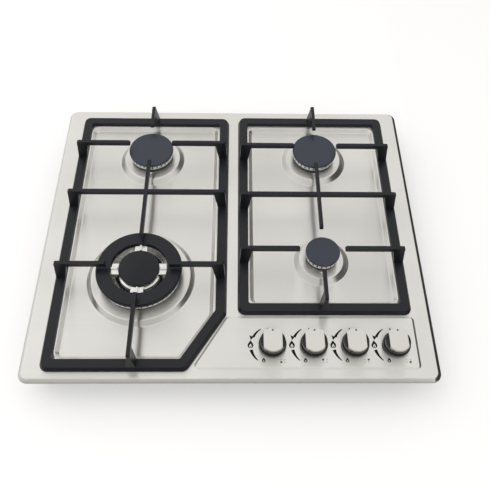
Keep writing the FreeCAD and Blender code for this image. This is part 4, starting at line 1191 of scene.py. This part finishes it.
class HOB_OT_marks(Operator):
    """Printed flame signs, turning arrows, off marks and burner places beside the knobs"""
    bl_idname = "hob.marks"
    bl_label = "Printed marks"

    def execute(self, context):
        for knob in KNOBS:
            centre = middle("knob_%d_base" % knob)
            dark = join("knob_%d_marks" % knob, self.marks(centre, knob))
            place_on(dark, "root", "ink", slot="knob_black")
            faint = join("knob_%d_places" % knob, self.places(centre, knob, False))
            place_on(faint, "root", "faint_ink", slot="knob_black")
        return {"FINISHED"}

    def marks(self, centre, knob):
        """Turning arrow in two arcs, flame signs, the mark for off, and the dark square."""
        upper, lower = (swoosh(*row) for row in ARCS)
        made = [printed(points, centre) for points in (upper, ARROW_HEAD, lower)]
        made += [self.flame_sign(centre, *row) for row in FLAME_SIGNS]
        made.append(printed(shifted(flame(3.6, 2.2), -5.6, 23.6), centre))
        return made + self.places(centre, knob, True)

    def flame_sign(self, centre, x, y, height, width):
        """Pointed flame with a flame-shaped hole and a small core in it."""
        sign = printed(shifted(flame(height, width), x, y), centre)
        hole = printed(shifted(flame(height * 0.52, width * 0.46), x, y + height * 0.06), centre, MM)
        combine(sign, hole, "DIFFERENCE")
        core = printed(shifted(flame(height * 0.2, width * 0.2), x, y + height * 0.12), centre)
        return join("sign", [sign, core])

    def places(self, centre, knob, dark):
        """Two by two squares: the one for this knob's burner is dark, the others faint."""
        half = 1.3 if dark else 0.8
        made = []
        for column, row in [(x, y) for x in (-1, 1) for y in (-1, 1)]:
            if ((column, row) == BURNER_SQUARE[knob]) == dark:
                x, y = 14.2 + 2.6 * column, -23.4 + 1.8 * row
                made.append(printed(box_corners(x - half, x + half, y - half, y + half), centre))
        return made


# ---- carried-over pieces --------------------------------------------------------------
class HOB_OT_finishes(Operator):
    """Procedural finish for every sub-part, by its material slot"""
    bl_idname = "hob.finishes"
    bl_label = "Finishes"

    def execute(self, context):
        make_finishes(context.scene.hob_finish)
        for row in frame["record"]["subparts"]:
            piece = frame["nodes"][row["node"]]
            piece.data.materials.clear()
            piece.data.materials.append(FINISHES[row["material_slot"]])
        return {"FINISHED"}


# ---- stage ----------------------------------------------------------------------------
IMAGE_SIZE = 490.0
FOCAL_PIXELS = 654.01
CENTRE_PIXEL = (253.43, 230.03)
CAMERA_PLACE = Vector((8.0, -592.7, 905.4)) * MM
CAMERA_DOWN, CAMERA_YAW, CAMERA_ROLL = 55.088, -2.434, -2.236
SENSOR = 36.0
# soft lamps: name, place, size, power, tone, and whether bright metal shows them
LAMPS = (("key", (-0.5, -0.5, 2.2), 2.2, 14.0, (1.0, 0.99, 0.97), False),
         ("fill", (-1.6, 0.9, 1.8), 1.8, 2.5, (1.0, 0.99, 0.98), True))
AIM = Vector((0, 0, 0.05))
# darker cards that rise beside the part, seen only in its bright metal: name, tone, corners
CARDS = (("side_card", (0.04, 0.037, 0.035),
          ((0.33, -0.6, 0.003), (0.66, -0.6, 0.42), (0.66, 1.1, 0.42), (0.33, 1.1, 0.003))),
         ("front_card", (0.34, 0.33, 0.30),
          ((-0.9, -0.36, 0.002), (0.33, -0.36, 0.002), (0.6, -1.3, 1.10), (-1.2, -1.3, 1.10))))
FLOOR_GLOW = 0.3


class HOB_OT_stage(Operator):
    """Camera, pale floor and backdrop, and plain soft studio light"""
    bl_idname = "hob.stage"
    bl_label = "Stage"

    def execute(self, context):
        studio = context.scene.hob_studio
        self.camera(context.scene)
        self.floor()
        self.world(context.scene, studio)
        for row in LAMPS:
            self.lamp(studio.lamp, *row)
        for row in CARDS:
            self.card(*row)
        context.scene.view_settings.view_transform = "Standard"
        return {"FINISHED"}

    def camera(self, scene):
        data = bpy.data.cameras.new("photo_camera")
        data.sensor_width = SENSOR
        data.lens = SENSOR * FOCAL_PIXELS / IMAGE_SIZE
        data.shift_x = (IMAGE_SIZE / 2 - CENTRE_PIXEL[0]) / IMAGE_SIZE
        data.shift_y = (CENTRE_PIXEL[1] - IMAGE_SIZE / 2) / IMAGE_SIZE
        camera = bpy.data.objects.new("photo_camera", data)
        scene.collection.objects.link(camera)
        turn = Matrix.Rotation(math.radians(CAMERA_YAW), 4, "Z")
        turn = turn @ Matrix.Rotation(math.radians(90 - CAMERA_DOWN), 4, "X")
        turn = turn @ Matrix.Rotation(math.radians(-CAMERA_ROLL), 4, "Z")
        camera.matrix_world = Matrix.Translation(CAMERA_PLACE) @ turn
        scene.camera = camera

    def floor(self):
        select_none()
        bpy.ops.mesh.primitive_plane_add(size=8.0, location=(0, 0, cad_low.z - 0.05 * MM))
        floor = bpy.context.object
        floor.name = "floor"
        finish = Finish("pale_floor", (0.9, 0.9, 0.9), 0.8)
        patches = finish.effect(soft_patches, Scale=1.5)
        finish.tint(patches.outputs["Mask"], 0.985)
        seen = finish.node("LightPath").outputs["Is Camera Ray"]
        finish.set("Emission Color", (1.0, 1.0, 1.0, 1.0))
        finish.feed(times(finish.tree, "Math", seen, FLOOR_GLOW), "Emission Strength")
        floor.data.materials.append(finish.material)

    def card(self, name, tone, corners):
        card = face_through(name, corners)
        done()
        card.data.materials.append(Finish(name, tone, 0.9).material)
        card.visible_camera = card.visible_diffuse = card.visible_shadow = False

    def world(self, scene, studio):
        world = bpy.data.worlds.new("studio")
        world.use_nodes = True
        tree = world.node_tree
        sky = tree.nodes["Background"]
        sky.inputs["Color"].default_value = (1.0, 0.99, 0.975, 1.0)
        path = node(tree, "LightPath").outputs
        seen = path["Is Camera Ray"]
        for other in ("Is Glossy Ray", "Is Transmission Ray"):
            seen = node(tree, "Math", {0: seen, 1: path[other]}, operation="MAXIMUM")
        level = node(tree, "MapRange", {"Value": seen, "To Min": studio.world, "To Max": 1.0})
        link(tree, level, sky.inputs["Strength"])
        scene.world = world

    def lamp(self, level, name, place, size, power, tone, glossy):
        data = bpy.data.lights.new(name, "AREA")
        data.shape = "SQUARE"
        data.size = size
        data.energy = power * level
        data.color = tone
        lamp = bpy.data.objects.new(name, data)
        bpy.context.scene.collection.objects.link(lamp)
        turn = (AIM - Vector(place)).to_track_quat("-Z", "Y")
        lamp.matrix_world = Matrix.Translation(place) @ turn.to_matrix().to_4x4()
        lamp.visible_glossy = glossy


# ---- add-on ---------------------------------------------------------------------------
OPERATORS = (HOB_OT_finishes, HOB_OT_steel_top, HOB_OT_supports, HOB_OT_caps, HOB_OT_flame_rings,
             HOB_OT_knobs, HOB_OT_marks, HOB_OT_stage)


class HOB_PT_panel(Panel):
    """Lists the hob's pieces in the 3D view's sidebar"""
    bl_idname = "HOB_PT_panel"
    bl_label = "Gas hob"
    bl_space_type = "VIEW_3D"
    bl_region_type = "UI"
    bl_category = "Hob"

    def draw(self, context):
        for operator in OPERATORS:
            self.layout.operator(operator.bl_idname)


CLASSES = GROUPS + OPERATORS + (HOB_PT_panel,)
SETTINGS = {"hob_plate": HobPlate, "hob_support": HobSupport, "hob_knob": HobKnob,
            "hob_finish": HobFinish, "hob_studio": HobStudio}


def register():
    for made in CLASSES:
        bpy.utils.register_class(made)
    for name, group in SETTINGS.items():
        setattr(bpy.types.Scene, name, PointerProperty(type=group))


def unregister():
    for name in SETTINGS:
        delattr(bpy.types.Scene, name)
    for made in reversed(CLASSES):
        bpy.utils.unregister_class(made)


def main():
    register()
    for operator in OPERATORS:
        section, action = operator.bl_idname.split(".")
        getattr(getattr(bpy.ops, section), action)()


if __name__ == "__main__":
    main()
